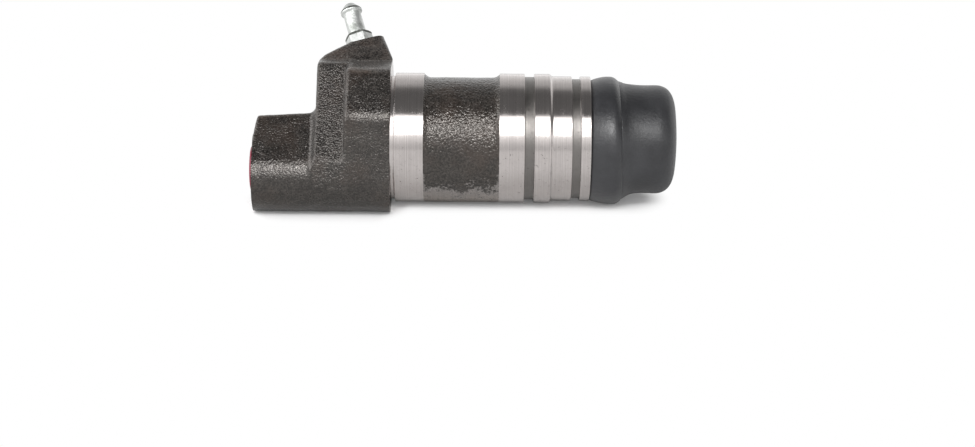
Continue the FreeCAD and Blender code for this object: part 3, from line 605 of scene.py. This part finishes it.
# turned face: fine tool lines round the axis, small pores and a slightly uneven sheen
turned_group, turned_in, turned_out = new_group("turned_face", [
    ("Place", None), ("Line", 0.0), ("Base", (0.592, 0.551, 0.535)), ("Pore", (0.13, 0.12, 0.11)),
    ("Line scale", 2600.0),
])
tree, place, line = turned_group, turned_in["Place"], turned_in["Line"]
fine = noise_level(tree, line, turned_in["Line scale"], 4.0, 0.7, on_line=True)
wide = noise_level(tree, line, 420.0, 3.0, 0.6, on_line=True)
pore_level = spread(tree, noise_level(tree, place, 1700.0, 2.0, 0.5), 0.64, 0.76, high=0.7)
streak = spread(tree, fine, 0.25, 0.8, 0.80, 1.06)
haze = spread(tree, noise_level(tree, place, 160.0, 4.0, 0.6), 0.3, 0.7, 0.92, 1.04)
toned = scaled(tree, turned_in["Base"], sums(tree, "MULTIPLY", streak, haze))
feed(tree, turned_out["Colour"], blend(tree, pore_level, toned, turned_in["Pore"]))
pore_rough = sums(tree, "MULTIPLY", pore_level, 0.3)
rough = spread(tree, wide, 0.3, 0.7, 0.15, 0.22)
feed(tree, turned_out["Roughness"], sums(tree, "ADD", rough, pore_rough))
pore_height = sums(tree, "MULTIPLY", pore_level, -0.8)
feed(tree, turned_out["Height"], sums(tree, "ADD", fine, pore_height))

# the grain is coarsest on the column and finest on the boss; faces that look up get a painted
# sheen, their colour lightened up to 2.3 times
cast_iron, tree, output = new_material("sand_cast_iron")
place = place_in_part(tree)
skin = use_group(tree, cast_group, {"Place": place})
along = along_bore(tree, place)
on_column = spread(tree, along, *HEAD_FROM, COLUMN_GRAIN, HEAD_GRAIN)
on_boss = spread(tree, along, *COLUMN_FROM, BOSS_GRAIN - COLUMN_GRAIN, 0.0)
grain_depth = sums(tree, "ADD", on_column, on_boss)
facing = place_node(tree, "ShaderNodeNewGeometry").outputs["Normal"]
facing_up = place_node(tree, "ShaderNodeSeparateXYZ", {"Vector": facing}).outputs["Z"]
sheen_painted_colour = scaled(tree, skin["Colour"], spread(tree, facing_up, *UP_FACING_PAINTED_SHEEN))
finish_metal(tree, output, {**skin, "Colour": sheen_painted_colour}, grain_depth, 0.0, {
    "IOR": 1.60, "Specular Tint": WARM_TINT,
})

faced_iron, tree, output = new_material("faced_iron")
place = place_in_part(tree)
look = use_group(tree, turned_group, {"Place": place, "Line": axis_distance(tree, place)})
finish_metal(tree, output, look, FACE_LINES, 1.0)

skins = [loft(rings) for rings in (head_rings, column_rings, boss_rings, hill_rings)]
casting_mesh = cast_skin_mesh("casting", skins)
made = bmesh.new()
made.from_mesh(casting_mesh)
for face in made.faces:
    face.smooth = True
cut_flat(made, (SHOULDER, 0, 0), (1, 0, 0))
cut_flat(made, (-BOSS_BACK, 0, 0), (-1, 0, 0))
cut_flat(made, SEAT_PLACE, (-math.sin(SEAT_TILT), 0, math.cos(SEAT_TILT)))
made.to_mesh(casting_mesh)
made.free()
casting_mesh.materials.append(cast_iron)
casting_mesh.materials.append(faced_iron)
casting = link_mesh("casting", casting_mesh)
port_cutter = port_solid("port_cutter", PORT_STEPS)
port_cutter.data.materials.append(faced_iron)
port_cut = casting.modifiers.new("port", "BOOLEAN")
port_cut.operation = "DIFFERENCE"
port_cut.solver = "EXACT"
port_cut.object = port_cutter
port_cut.material_mode = "TRANSFER"
evaluated = casting.evaluated_get(bpy.context.evaluated_depsgraph_get())
cut_mesh = bpy.data.meshes.new_from_object(evaluated)
casting.modifiers.clear()
casting.data = cut_mesh
cut_mesh.transform(LAY_DOWN)
bpy.data.objects.remove(port_cutter)
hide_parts("cylinder_casting")
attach(casting, "housing")


# Barrel: turned on the casting's own iron, with bright lands, a relief at the shoulder, two
# square grooves and the nose that carries the boot. The waist between the lands is left as
# cast, except below, where the tool just skims it.
AROUND = 384
LAND = 21.0
PILOT = 20.27
NOSE = 17.4
BORE = 12.7
RELIEF = 20.0
WAIST = (11.5, 35.9)
WAIST_RINGS = 66
WAIST_RADIUS = 20.32
WAIST_SHIFT = 0.70
WAIST_SHIFT_ANGLE = math.radians(17.0)
WAIST_FILLET = 2.2
WAIST_RISE = 0.78
WAIST_BUMPS = 0.9
WAIST_SEED = 11.0
WAIST_GRAIN = 0.00024
WAIST_GRAIN_SCALE = 0.78
WAIST_SHEEN = 0.65
SKIM_RADII = (0.02095, 0.02101)
SKIM_IRON = (0.372, 0.348, 0.337)
GROOVES = ((44.05, 47.1), (59.25, 61.95))
GROOVE_FLOORS = (19.95, 19.37)
GROOVE_LINES = 0.00007
LAND_LINES = 0.000010
EDGE = 0.3
HOLD = 0.08
LONGEST_RUN = 1.5
SHARP_ANGLE = math.radians(38.0)
LOOK_LAND, LOOK_WAIST, LOOK_GROOVE = range(3)
BARREL_STEPS = [
    (SHOULDER + 0.01, 17.0), (SHOULDER + 0.01, RELIEF), (2.15, RELIEF), (2.15, LAND),
    (WAIST[0], LAND), (WAIST[1], LAND),
    (GROOVES[0][0], LAND), (GROOVES[0][0], GROOVE_FLOORS[0]),
    (GROOVES[0][1], GROOVE_FLOORS[0]), (GROOVES[0][1], LAND), (52.2, LAND), (52.9, PILOT),
    (GROOVES[1][0], PILOT), (GROOVES[1][0], GROOVE_FLOORS[1]),
    (GROOVES[1][1], GROOVE_FLOORS[1]), (GROOVES[1][1], PILOT), (65.3, PILOT),
    (65.3, NOSE), (67.6, NOSE), (67.6, 15.9), (69.8, 15.9), (69.8, NOSE), (73.0, NOSE),
    (73.0, BORE), (70.0, BORE), (70.0, 13.9), (68.3, 13.9), (68.3, BORE),
    (-7.0, BORE), (-7.0, 0.05),
]


def broken_edges(steps, edge):
    """A turned outline with each sharp corner broken by a small two-step round."""
    points = [steps[0]]
    for before, here, after in zip(steps, steps[1:], steps[2:]):
        back = Vector(before) - Vector(here)
        ahead = Vector(after) - Vector(here)
        reach = min(edge, back.length * 0.4, ahead.length * 0.4)
        if abs(back.normalized().cross(ahead.normalized())) < 0.05:
            points.append(here)
            continue
        start = Vector(here) + back.normalized() * reach
        end = Vector(here) + ahead.normalized() * reach
        middle = (start + end) / 4 + Vector(here) / 2
        points += [tuple(start), tuple(middle), tuple(end)]
    return points + [steps[-1]]


def split_runs(points, longest):
    """Extra points along an outline's straight runs, two of them close to a long run's ends."""
    out = [points[0]]
    for before, after in zip(points, points[1:]):
        length = math.dist(before, after)
        pieces = max(1, math.ceil(length / longest))
        parts = [k / pieces for k in range(1, pieces)]
        if length > 4 * HOLD:
            parts = [HOLD / length] + parts + [1 - HOLD / length]
        way = np.array(after) - np.array(before)
        out += [tuple(np.array(before) + way * part) for part in parts + [1.0]]
    return out


def waist_radius(x, angle):
    """The cast waist's radius at a place along it and an angle from upright."""
    offset = -WAIST_SHIFT * math.cos(angle + WAIST_SHIFT_ANGLE)
    from_end = min(x - WAIST[0], WAIST[1] - x)
    spot = (x, WAIST_RADIUS * math.sin(angle), WAIST_RADIUS * math.cos(angle))
    radius = WAIST_RADIUS + offset + cast_height(spot, WAIST_SEED) * WAIST_BUMPS
    rise = WAIST_RISE * max(0.0, LAND - radius) * max(0.0, 1 - from_end / WAIST_FILLET) ** 2
    return min(LAND, radius + rise)


def band_faces(rings, around):
    """The faces that join a number of rings, each with so many points."""
    faces = []
    for i in range(rings - 1):
        low, high = i * around, (i + 1) * around
        for j in range(around):
            k = (j + 1) % around
            faces.append((low + j, high + j, high + k, low + k))
    return faces


def lay_down(name, points, faces, materials, indices=None):
    """A smooth mesh object from upright millimetres, in the part's own frame."""
    mesh = bpy.data.meshes.new(name)
    mesh.from_pydata([tuple(p) for p in points], [], [tuple(f) for f in faces])
    mesh.transform(LAY_DOWN)
    for material in materials:
        mesh.materials.append(material)
    if indices is not None:
        mesh.polygons.foreach_set("material_index", indices)
    mesh.polygons.foreach_set("use_smooth", [True] * len(mesh.polygons))
    mesh.update()
    return link_mesh(name, mesh)


outline = broken_edges(BARREL_STEPS, EDGE)
waist_start = next(i for i, point in enumerate(outline) if point[0] > WAIST[0] + 1)
front = split_runs(outline[:waist_start], LONGEST_RUN)
rear = split_runs(outline[waist_start:], LONGEST_RUN)
angles = np.linspace(0, math.tau, AROUND, endpoint=False)
rings = [(x, [radius] * AROUND, LOOK_LAND) for x, radius in front]
for x in np.linspace(WAIST[0] + 0.02, WAIST[1] - 0.02, WAIST_RINGS):
    rings.append((x, [waist_radius(x, a) for a in angles], LOOK_WAIST))
for x, radius in rear:
    on_floor = 18.0 < radius < PILOT - EDGE / 2
    in_groove = on_floor and any(start <= x <= end for start, end in GROOVES)
    rings.append((x, [radius] * AROUND, LOOK_GROOVE if in_groove else LOOK_LAND))
points, indices = [], []
for x, radii, _ in rings:
    points += [(x, radius * math.sin(a), radius * math.cos(a)) for a, radius in zip(angles, radii)]
for (_, _, look), (_, _, next_look) in zip(rings, rings[1:]):
    indices += [look if look == next_look else LOOK_LAND] * AROUND

turned_iron, tree, output = new_material("turned_iron")
place = place_in_part(tree)
look = use_group(tree, turned_group, {"Place": place, "Line": along_bore(tree, place)})
tangent = place_node(tree, "ShaderNodeTangent", direction_type="RADIAL", axis="X")
finish_metal(tree, output, look, LAND_LINES, 1.0, {
    "Anisotropic": 0.6, "Anisotropic Rotation": 0.25, "Tangent": tangent.outputs[0],
})

# where the tool skims the waist, bare metal shows through the skin with a ragged edge
waist_iron, tree, output = new_material("skimmed_waist_iron")
place = place_in_part(tree)
bright = use_group(tree, turned_group, {
    "Place": place, "Line": along_bore(tree, place), "Base": SKIM_IRON,
})
skin = use_group(tree, cast_group, {
    "Place": scaled(tree, place, WAIST_GRAIN_SCALE), "Dark": (0.0080, 0.0073, 0.0067),
    "Light": (0.040, 0.0352, 0.0320),
})
ragged = sums(tree, "MULTIPLY_ADD", skin["Height"], 0.00010, axis_distance(tree, place))
broken = sums(tree, "SUBTRACT", noise_level(tree, place, 380.0, 3.0, 0.6), 0.52)
bare = spread(tree, sums(tree, "MULTIPLY_ADD", broken, 0.00022, ragged), *SKIM_RADII)
look = {"Colour": blend(tree, bare, skin["Colour"], bright["Colour"])}
for name in ("Roughness", "Height"):
    look[name] = blend(tree, bare, skin[name], bright[name], "FLOAT")
look["Roughness"] = sums(tree, "MULTIPLY", look["Roughness"], WAIST_SHEEN)
finish_metal(tree, output, look, WAIST_GRAIN, bare, {"IOR": 1.55, "Specular Tint": WARM_TINT})

groove_iron, tree, output = new_material("turned_groove_iron")
place = place_in_part(tree)
look = use_group(tree, turned_group, {
    "Place": place, "Line": along_bore(tree, place), "Base": (0.225, 0.213, 0.203),
    "Pore": (0.05, 0.045, 0.04), "Line scale": 5200.0,
})
look["Roughness"] = spread(tree, look["Roughness"], 0.15, 0.5, 0.34, 0.5)
finish_metal(tree, output, look, GROOVE_LINES, 1.0)

faces = band_faces(len(rings), AROUND)
barrel = lay_down("barrel", points, faces, [turned_iron, waist_iron, groove_iron], indices)
barrel.data.set_sharp_from_angle(angle=SHARP_ANGLE)
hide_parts("cylinder_casting")
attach(barrel, "housing")


# Dust boot: black rubber, moulded in one piece. A thick rolled mouth grips the barrel's nose,
# and a plain sleeve ends in a domed wall with the push rod's hole.
BOOT_PROFILE = [
    (65.45, 17.6), (65.40, 18.8), (65.6, 19.5), (66.7, 19.95), (68.7, 20.45), (70.8, 20.78),
    (72.6, 20.80), (73.7, 20.5), (74.6, 19.85), (75.0, 19.35), (75.3, 19.25), (75.9, 18.98),
    (77.2, 18.35), (79.0, 17.92), (81.2, 17.68), (84.0, 17.62), (87.0, 17.66), (88.8, 17.3),
    (90.3, 16.5), (91.4, 15.3), (92.2, 13.8), (92.75, 11.8), (93.1, 9.0), (93.25, 7.0),
    (93.25, 5.6), (92.95, 5.05), (91.7, 5.0), (91.3, 5.4), (91.2, 8.0), (90.9, 11.5),
    (90.0, 13.8), (88.4, 15.3), (86.0, 15.7), (80.0, 15.75), (78.4, 16.3), (75.6, 18.0),
    (73.6, 18.3), (73.45, 17.5),
]
BOOT_PIECES = 5
BOOT_AROUND = 256
BOOT_GRIP = (65.6, 4)
BOOT_LOOSE = (80.5, 6.0, 0.15)
BOOT_LOOSE_RADIUS = (16.5, 2)
BOOT_SWELL = 0.20
BOOT_SAG = 0.5
BOOT_LEAN = 0.65
TO_UPRIGHT = Matrix.Rotation(ROLL, 3, "X")
BOOT_UP = TO_UPRIGHT @ Vector((0, math.sin(CAMERA_PITCH), math.cos(CAMERA_PITCH)))
FLOOR_WAY = TO_UPRIGHT @ Vector((0, 0, 1))
FLOOR_ROOM = 20.98
RUBBER_COLOURS = ((0.0150, 0.0152, 0.0170, 1), (0.0295, 0.0300, 0.0330, 1))
RUBBER_RELIEF = 0.00009


def smooth_curve(points, pieces):
    """A smooth line through points, with the same number of pieces between each two."""
    spots = [Vector(p) for p in points]
    spots = [spots[0] * 2 - spots[1]] + spots + [spots[-1] * 2 - spots[-2]]
    out = []
    for a, b, c, d in zip(spots, spots[1:], spots[2:], spots[3:]):
        square, cube = 2 * a - 5 * b + 4 * c - d, 3 * b - a - 3 * c + d
        for k in range(pieces):
            t = k / pieces
            out.append(tuple(0.5 * (2 * b + (c - a) * t + square * t * t + cube * t ** 3)))
    return out + [tuple(spots[-2])]


def turn_round(profile, around, shape=None):
    """Points and faces of a profile (x, radius) turned about the bore's axis."""
    points = []
    for x, radius in profile:
        for k in range(around):
            a = math.tau * k / around
            spot = (x, radius * math.sin(a), radius * math.cos(a))
            points.append(shape(*spot) if shape else spot)
    return points, band_faces(len(profile), around)


def settled_boot(x, y, z):
    """The soft wall isn't quite round: its bulge leans and sags, and rests flat on the floor."""
    radius = math.hypot(y, z)
    grip = held((x - BOOT_GRIP[0]) / BOOT_GRIP[1])
    loose_end, loose_length, least = BOOT_LOOSE
    loose = held((loose_end - x) / loose_length, least)
    loose *= held((radius - BOOT_LOOSE_RADIUS[0]) / BOOT_LOOSE_RADIUS[1])
    high = (y * BOOT_UP.y + z * BOOT_UP.z) / radius
    lumps = noise.noise(Vector((x / 14, y / radius * 1.5, z / radius * 1.5)))
    wider = 1 + BOOT_SWELL * lumps * grip / radius
    spot = Vector((x - BOOT_LEAN * high * loose * grip, y * wider, z * wider))
    spot -= BOOT_UP * BOOT_SAG * loose
    under = -(spot.y * FLOOR_WAY.y + spot.z * FLOOR_WAY.z) - FLOOR_ROOM
    return tuple(spot + FLOOR_WAY * max(0.0, under))


boot_rubber, tree, output = new_material("moulded_rubber")
place = place_in_part(tree)
bloom = noise_level(tree, place, 70.0, 5.0, 0.62)
specks = noise_level(tree, place, 1100.0, 3.0, 0.65)
at_bulge = spread(tree, along_bore(tree, place), 0.0730, 0.0770, -0.10, 0.03)
rough = sums(tree, "ADD", spread(tree, bloom, 0.3, 0.7, 0.34, 0.50), at_bulge)
height = sums(tree, "ADD", sums(tree, "MULTIPLY", bloom, 3.0), specks)
coat(tree, output, height, RUBBER_RELIEF, {
    "Base Color": blend(tree, spread(tree, bloom, 0.35, 0.7), *RUBBER_COLOURS),
    "Roughness": rough, "Sheen Weight": 0.06, "Sheen Roughness": 0.45,
})
points, faces = turn_round(smooth_curve(BOOT_PROFILE, BOOT_PIECES), BOOT_AROUND, settled_boot)
boot = lay_down("boot", points, faces, [boot_rubber])
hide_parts("dust_boot")
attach(boot, "housing")


# Bleed screw: bright zinc-plated steel, a turned nipple with a barb for the hose over a small
# hexagon. It screws into the tilted seat on top of the tower.
HEX_FLATS = 8.0
HEX_CORNER = HEX_FLATS / math.sqrt(3)
HEX_TURN = math.radians(11.0)
HEX_AROUND = 96
NIPPLE_AROUND = 64
SHANK_AROUND = 48
HEX_BOTTOM = 0.3
HEX_TOP = 4.7
HEX_LEVELS = [
    (HEX_BOTTOM, 3.5), (HEX_BOTTOM, 4.15), (HEX_BOTTOM + 0.12, 4.3),
    (HEX_BOTTOM + 0.3, HEX_CORNER + 0.1), (HEX_TOP - 0.95, HEX_CORNER + 0.1),
    (HEX_TOP - 0.35, HEX_CORNER + 0.1), (HEX_TOP - 0.22, 4.45), (HEX_TOP - 0.08, 4.2),
    (HEX_TOP, 3.9), (HEX_TOP, 2.85),
]
NIPPLE = [
    (2.95, 4.2), (2.95, 4.9), (2.93, 9.0), (2.9, 12.7), (2.95, 12.9), (3.5, 13.3), (3.6, 13.5),
    (3.6, 13.85), (3.56, 14.15), (3.3, 14.5), (1.95, 16.1), (1.6, 16.5), (1.3, 16.6),
    (0.95, 16.6), (0.9, 16.5), (0.9, 8.0), (0.02, 8.0),
]
SHANK = [(3.45, 0.35), (3.45, -8.9), (2.6, -9.1), (2.6, -12.0), (1.3, -14.2), (0.02, -14.2)]
# painted shade: the barb's edge and the hexagon's top bevel, between these heights, get a dark zinc
# colour
BARB_PAINTED_SHADE = (13.8, 14.5)
BEVEL_PAINTED_SHADE = (HEX_TOP - 0.95, HEX_TOP - 0.02)
ZINC_RELIEF = 0.00006


def join_rings(made, rings, shaded_span, smooth):
    """Faces between rings of vertices, with the dark painted shade between two heights."""
    for low, high in zip(rings, rings[1:]):
        in_painted_shade = shaded_span[0] < (low[0].co.z + high[0].co.z) / 2 < shaded_span[1] and low[0].co.x > 1
        for k in range(len(low)):
            m = (k + 1) % len(low)
            face = made.faces.new((low[k], low[m], high[m], high[k]))
            face.smooth = smooth
            face.material_index = int(in_painted_shade)


def round_ring(made, radius, height, around):
    """A ring of vertices about the screw's axis, its radius one number or one for each."""
    radii = radius if isinstance(radius, list) else [radius] * around
    ring = []
    for k, r in enumerate(radii):
        a = math.tau * k / around
        ring.append(made.verts.new((r * math.cos(a), r * math.sin(a), height)))
    return ring


def hexagon_radii(cone):
    """The hexagon's radii all round, cut round where its bevel cone is smaller."""
    turns = [math.tau * k / HEX_AROUND + HEX_TURN for k in range(HEX_AROUND)]
    return [min(HEX_FLATS / 2 / math.cos(a % (math.pi / 3) - math.pi / 6), cone) for a in turns]


zinc, tree, output = new_material("zinc_plated_steel")
place = place_in_part(tree)
stain = noise_level(tree, place, 260.0, 5.0, 0.6)
spangle = place_node(tree, "ShaderNodeTexVoronoi", {"Vector": place, "Scale": 1400.0})
coat(tree, output, spangle.outputs["Distance"], ZINC_RELIEF, {
    "Base Color": ramp(tree, stain, [
        (0.32, (0.34, 0.355, 0.335)), (0.48, (0.58, 0.595, 0.58)), (0.70, (0.74, 0.755, 0.74)),
    ]),
    "Roughness": spread(tree, stain, 0.3, 0.7, 0.58, 0.42), "Metallic": 1.0,
})

# painted shade: a dark zinc colour on the barb's edge and the hexagon's top bevel, standing in for
# the shade on these edges
painted_shade_zinc, tree, output = new_material("zinc_painted_shade_edge")
stain = noise_level(tree, place_in_part(tree), 500.0, 4.0, 0.6)
colour = ramp(tree, stain, [(0.35, (0.060, 0.064, 0.056)), (0.7, (0.17, 0.18, 0.165))])
shader = place_node(tree, "ShaderNodeBsdfPrincipled", {
    "Base Color": colour, "Roughness": 0.45, "Metallic": 1.0,
})
tree.links.new(shader.outputs[0], output.inputs["Surface"])

made = bmesh.new()
nipple = [round_ring(made, radius, height, NIPPLE_AROUND) for radius, height in NIPPLE]
join_rings(made, nipple, BARB_PAINTED_SHADE, True)
shank = [round_ring(made, radius, height, SHANK_AROUND) for radius, height in reversed(SHANK)]
join_rings(made, shank, (0, 0), True)
hexagon = [round_ring(made, hexagon_radii(cone), height, HEX_AROUND) for height, cone in HEX_LEVELS]
join_rings(made, hexagon, BEVEL_PAINTED_SHADE, False)
seat_frame = Matrix.Translation(SEAT_PLACE) @ Matrix.Rotation(-SEAT_TILT, 4, "Y")
bmesh.ops.transform(made, matrix=LAY_DOWN @ seat_frame, verts=made.verts)
screw_mesh = bpy.data.meshes.new("bleed_nipple")
made.to_mesh(screw_mesh)
made.free()
screw_mesh.materials.append(zinc)
screw_mesh.materials.append(painted_shade_zinc)
screw = link_mesh("bleed_nipple", screw_mesh)
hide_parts("bleed_screw")
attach(screw, "bleed_screw")


# Port plug: a red moulded cap pushed into the inlet. Its round head, hollow in the middle,
# stands proud of the port's face.
PLUG_PROFILE = [
    (-42.10, 0.02), (-42.12, 3.9), (-42.2, 4.4), (-42.5, 4.6), (-44.1, 4.62), (-44.42, 4.75),
    (-44.55, 5.05), (-44.55, 6.6), (-44.45, 7.05), (-44.2, 7.33), (-43.95, 7.4), (-43.65, 7.38),
    (-43.56, 7.2), (-43.56, 6.7), (-43.5, 6.56), (-41.2, 6.55), (-40.95, 6.4), (-40.9, 6.1),
    (-40.9, 0.02),
]
PLUG_RELIEF = 0.00005
red_plastic, tree, output = new_material("red_cap_plastic")
flow = noise_level(tree, place_in_part(tree), 220.0, 4.0, 0.5)
coat(tree, output, flow, PLUG_RELIEF, {
    "Base Color": ramp(tree, flow, [(0.3, (0.14, 0.004, 0.020)), (0.7, (0.21, 0.006, 0.032))]),
    "Roughness": spread(tree, flow, 0.0, 1.0, 0.28, 0.44),
})
points, faces = turn_round(PLUG_PROFILE, PORT_AROUND)
points = [(x, y, z - PORT_DROP) for x, y, z in points]
cap = lay_down("red_cap", points, faces, [red_plastic])
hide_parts("port_plug")
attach(cap, "port_plug")


# Inside the bore: the alloy piston with its steel rod seat, the rubber cup and seal, and the
# washers and ring of steel. They keep their drawn shapes and get their own finishes.
def inner_finish(name, base, metallic, roughness, line_depth):
    """A finish with tool lines along the bore, for a piece inside it."""
    material, tree, output = new_material(name)
    place = place_in_part(tree)
    look = use_group(tree, turned_group, {
        "Place": place, "Line": along_bore(tree, place), "Base": base, "Line scale": 1500.0,
    })
    look["Roughness"] = spread(tree, look["Roughness"], 0.15, 0.5, *roughness)
    finish_metal(tree, output, look, line_depth, metallic)
    return material


piston_alloy = inner_finish("piston_alloy", (0.72, 0.72, 0.73), 1.0, (0.22, 0.40), 0.000012)
pressed_steel = inner_finish("pressed_steel", (0.42, 0.42, 0.43), 1.0, (0.28, 0.45), 0.000008)
seal_rubber = inner_finish("seal_rubber", (0.028, 0.028, 0.030), 0.0, (0.40, 0.55), 0.000010)
finishes = {
    "piston": piston_alloy, "rod_seat": pressed_steel, "cup_shim": pressed_steel,
    "spring_seat": pressed_steel, "stop_washer": pressed_steel,
    "retaining_ring": pressed_steel, "primary_cup": seal_rubber, "secondary_seal": seal_rubber,
}
for node_name, material in finishes.items():
    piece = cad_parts[node_name]
    piece.data.materials.clear()
    piece.data.materials.append(material)


# Return spring: a coil of round steel wire with a closed turn at each end, between the bore's
# floor and the spring seat. It is squeezed to under half its length as the piston goes in.
COIL_ENDS = (-7.0 + SHOULDER, 32.35 + SHOULDER)
COIL_RADIUS = 7.4
WIRE_RADIUS = 0.75
COIL_TURNS = 4.5
CLOSED_CLIMB = 1.6
TURN_STEPS = 48
WIRE_SIDES = 14
spring_wire = inner_finish("spring_wire", (0.30, 0.30, 0.31), 1.0, (0.25, 0.40), 0.000004)
steps = int(COIL_TURNS * TURN_STEPS)
open_climb = (COIL_ENDS[1] - COIL_ENDS[0] - 2 * CLOSED_CLIMB) / (COIL_TURNS - 2)
closed = [k < TURN_STEPS or k >= steps - TURN_STEPS for k in range(steps)]
climbs = np.pad([CLOSED_CLIMB if shut else open_climb for shut in closed], 6, mode="edge")
climbs = np.convolve(climbs, np.ones(13) / 13, mode="valid") / TURN_STEPS
heights = COIL_ENDS[0] + np.concatenate(([0.0], np.cumsum(climbs)))
points = []
for k, height in enumerate(heights):
    a = math.tau * k / TURN_STEPS
    outward = Vector((0, math.sin(a), math.cos(a)))
    climb = climbs[min(k, steps - 1)] * TURN_STEPS / math.tau
    along = Vector((climb, COIL_RADIUS * math.cos(a), -COIL_RADIUS * math.sin(a))).normalized()
    sideways = along.cross(outward)
    middle = outward * COIL_RADIUS + Vector((height, 0, 0))
    for j in range(WIRE_SIDES):
        b = math.tau * j / WIRE_SIDES
        points.append(middle + (outward * math.cos(b) + sideways * math.sin(b)) * WIRE_RADIUS)
faces = band_faces(steps + 1, WIRE_SIDES)
faces.append(tuple(range(WIRE_SIDES)))
faces.append(tuple(reversed(range(steps * WIRE_SIDES, (steps + 1) * WIRE_SIDES))))
coil = lay_down("return_coil", points, faces, [spring_wire])
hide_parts("return_spring")
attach(coil, "housing")
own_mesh(coil)
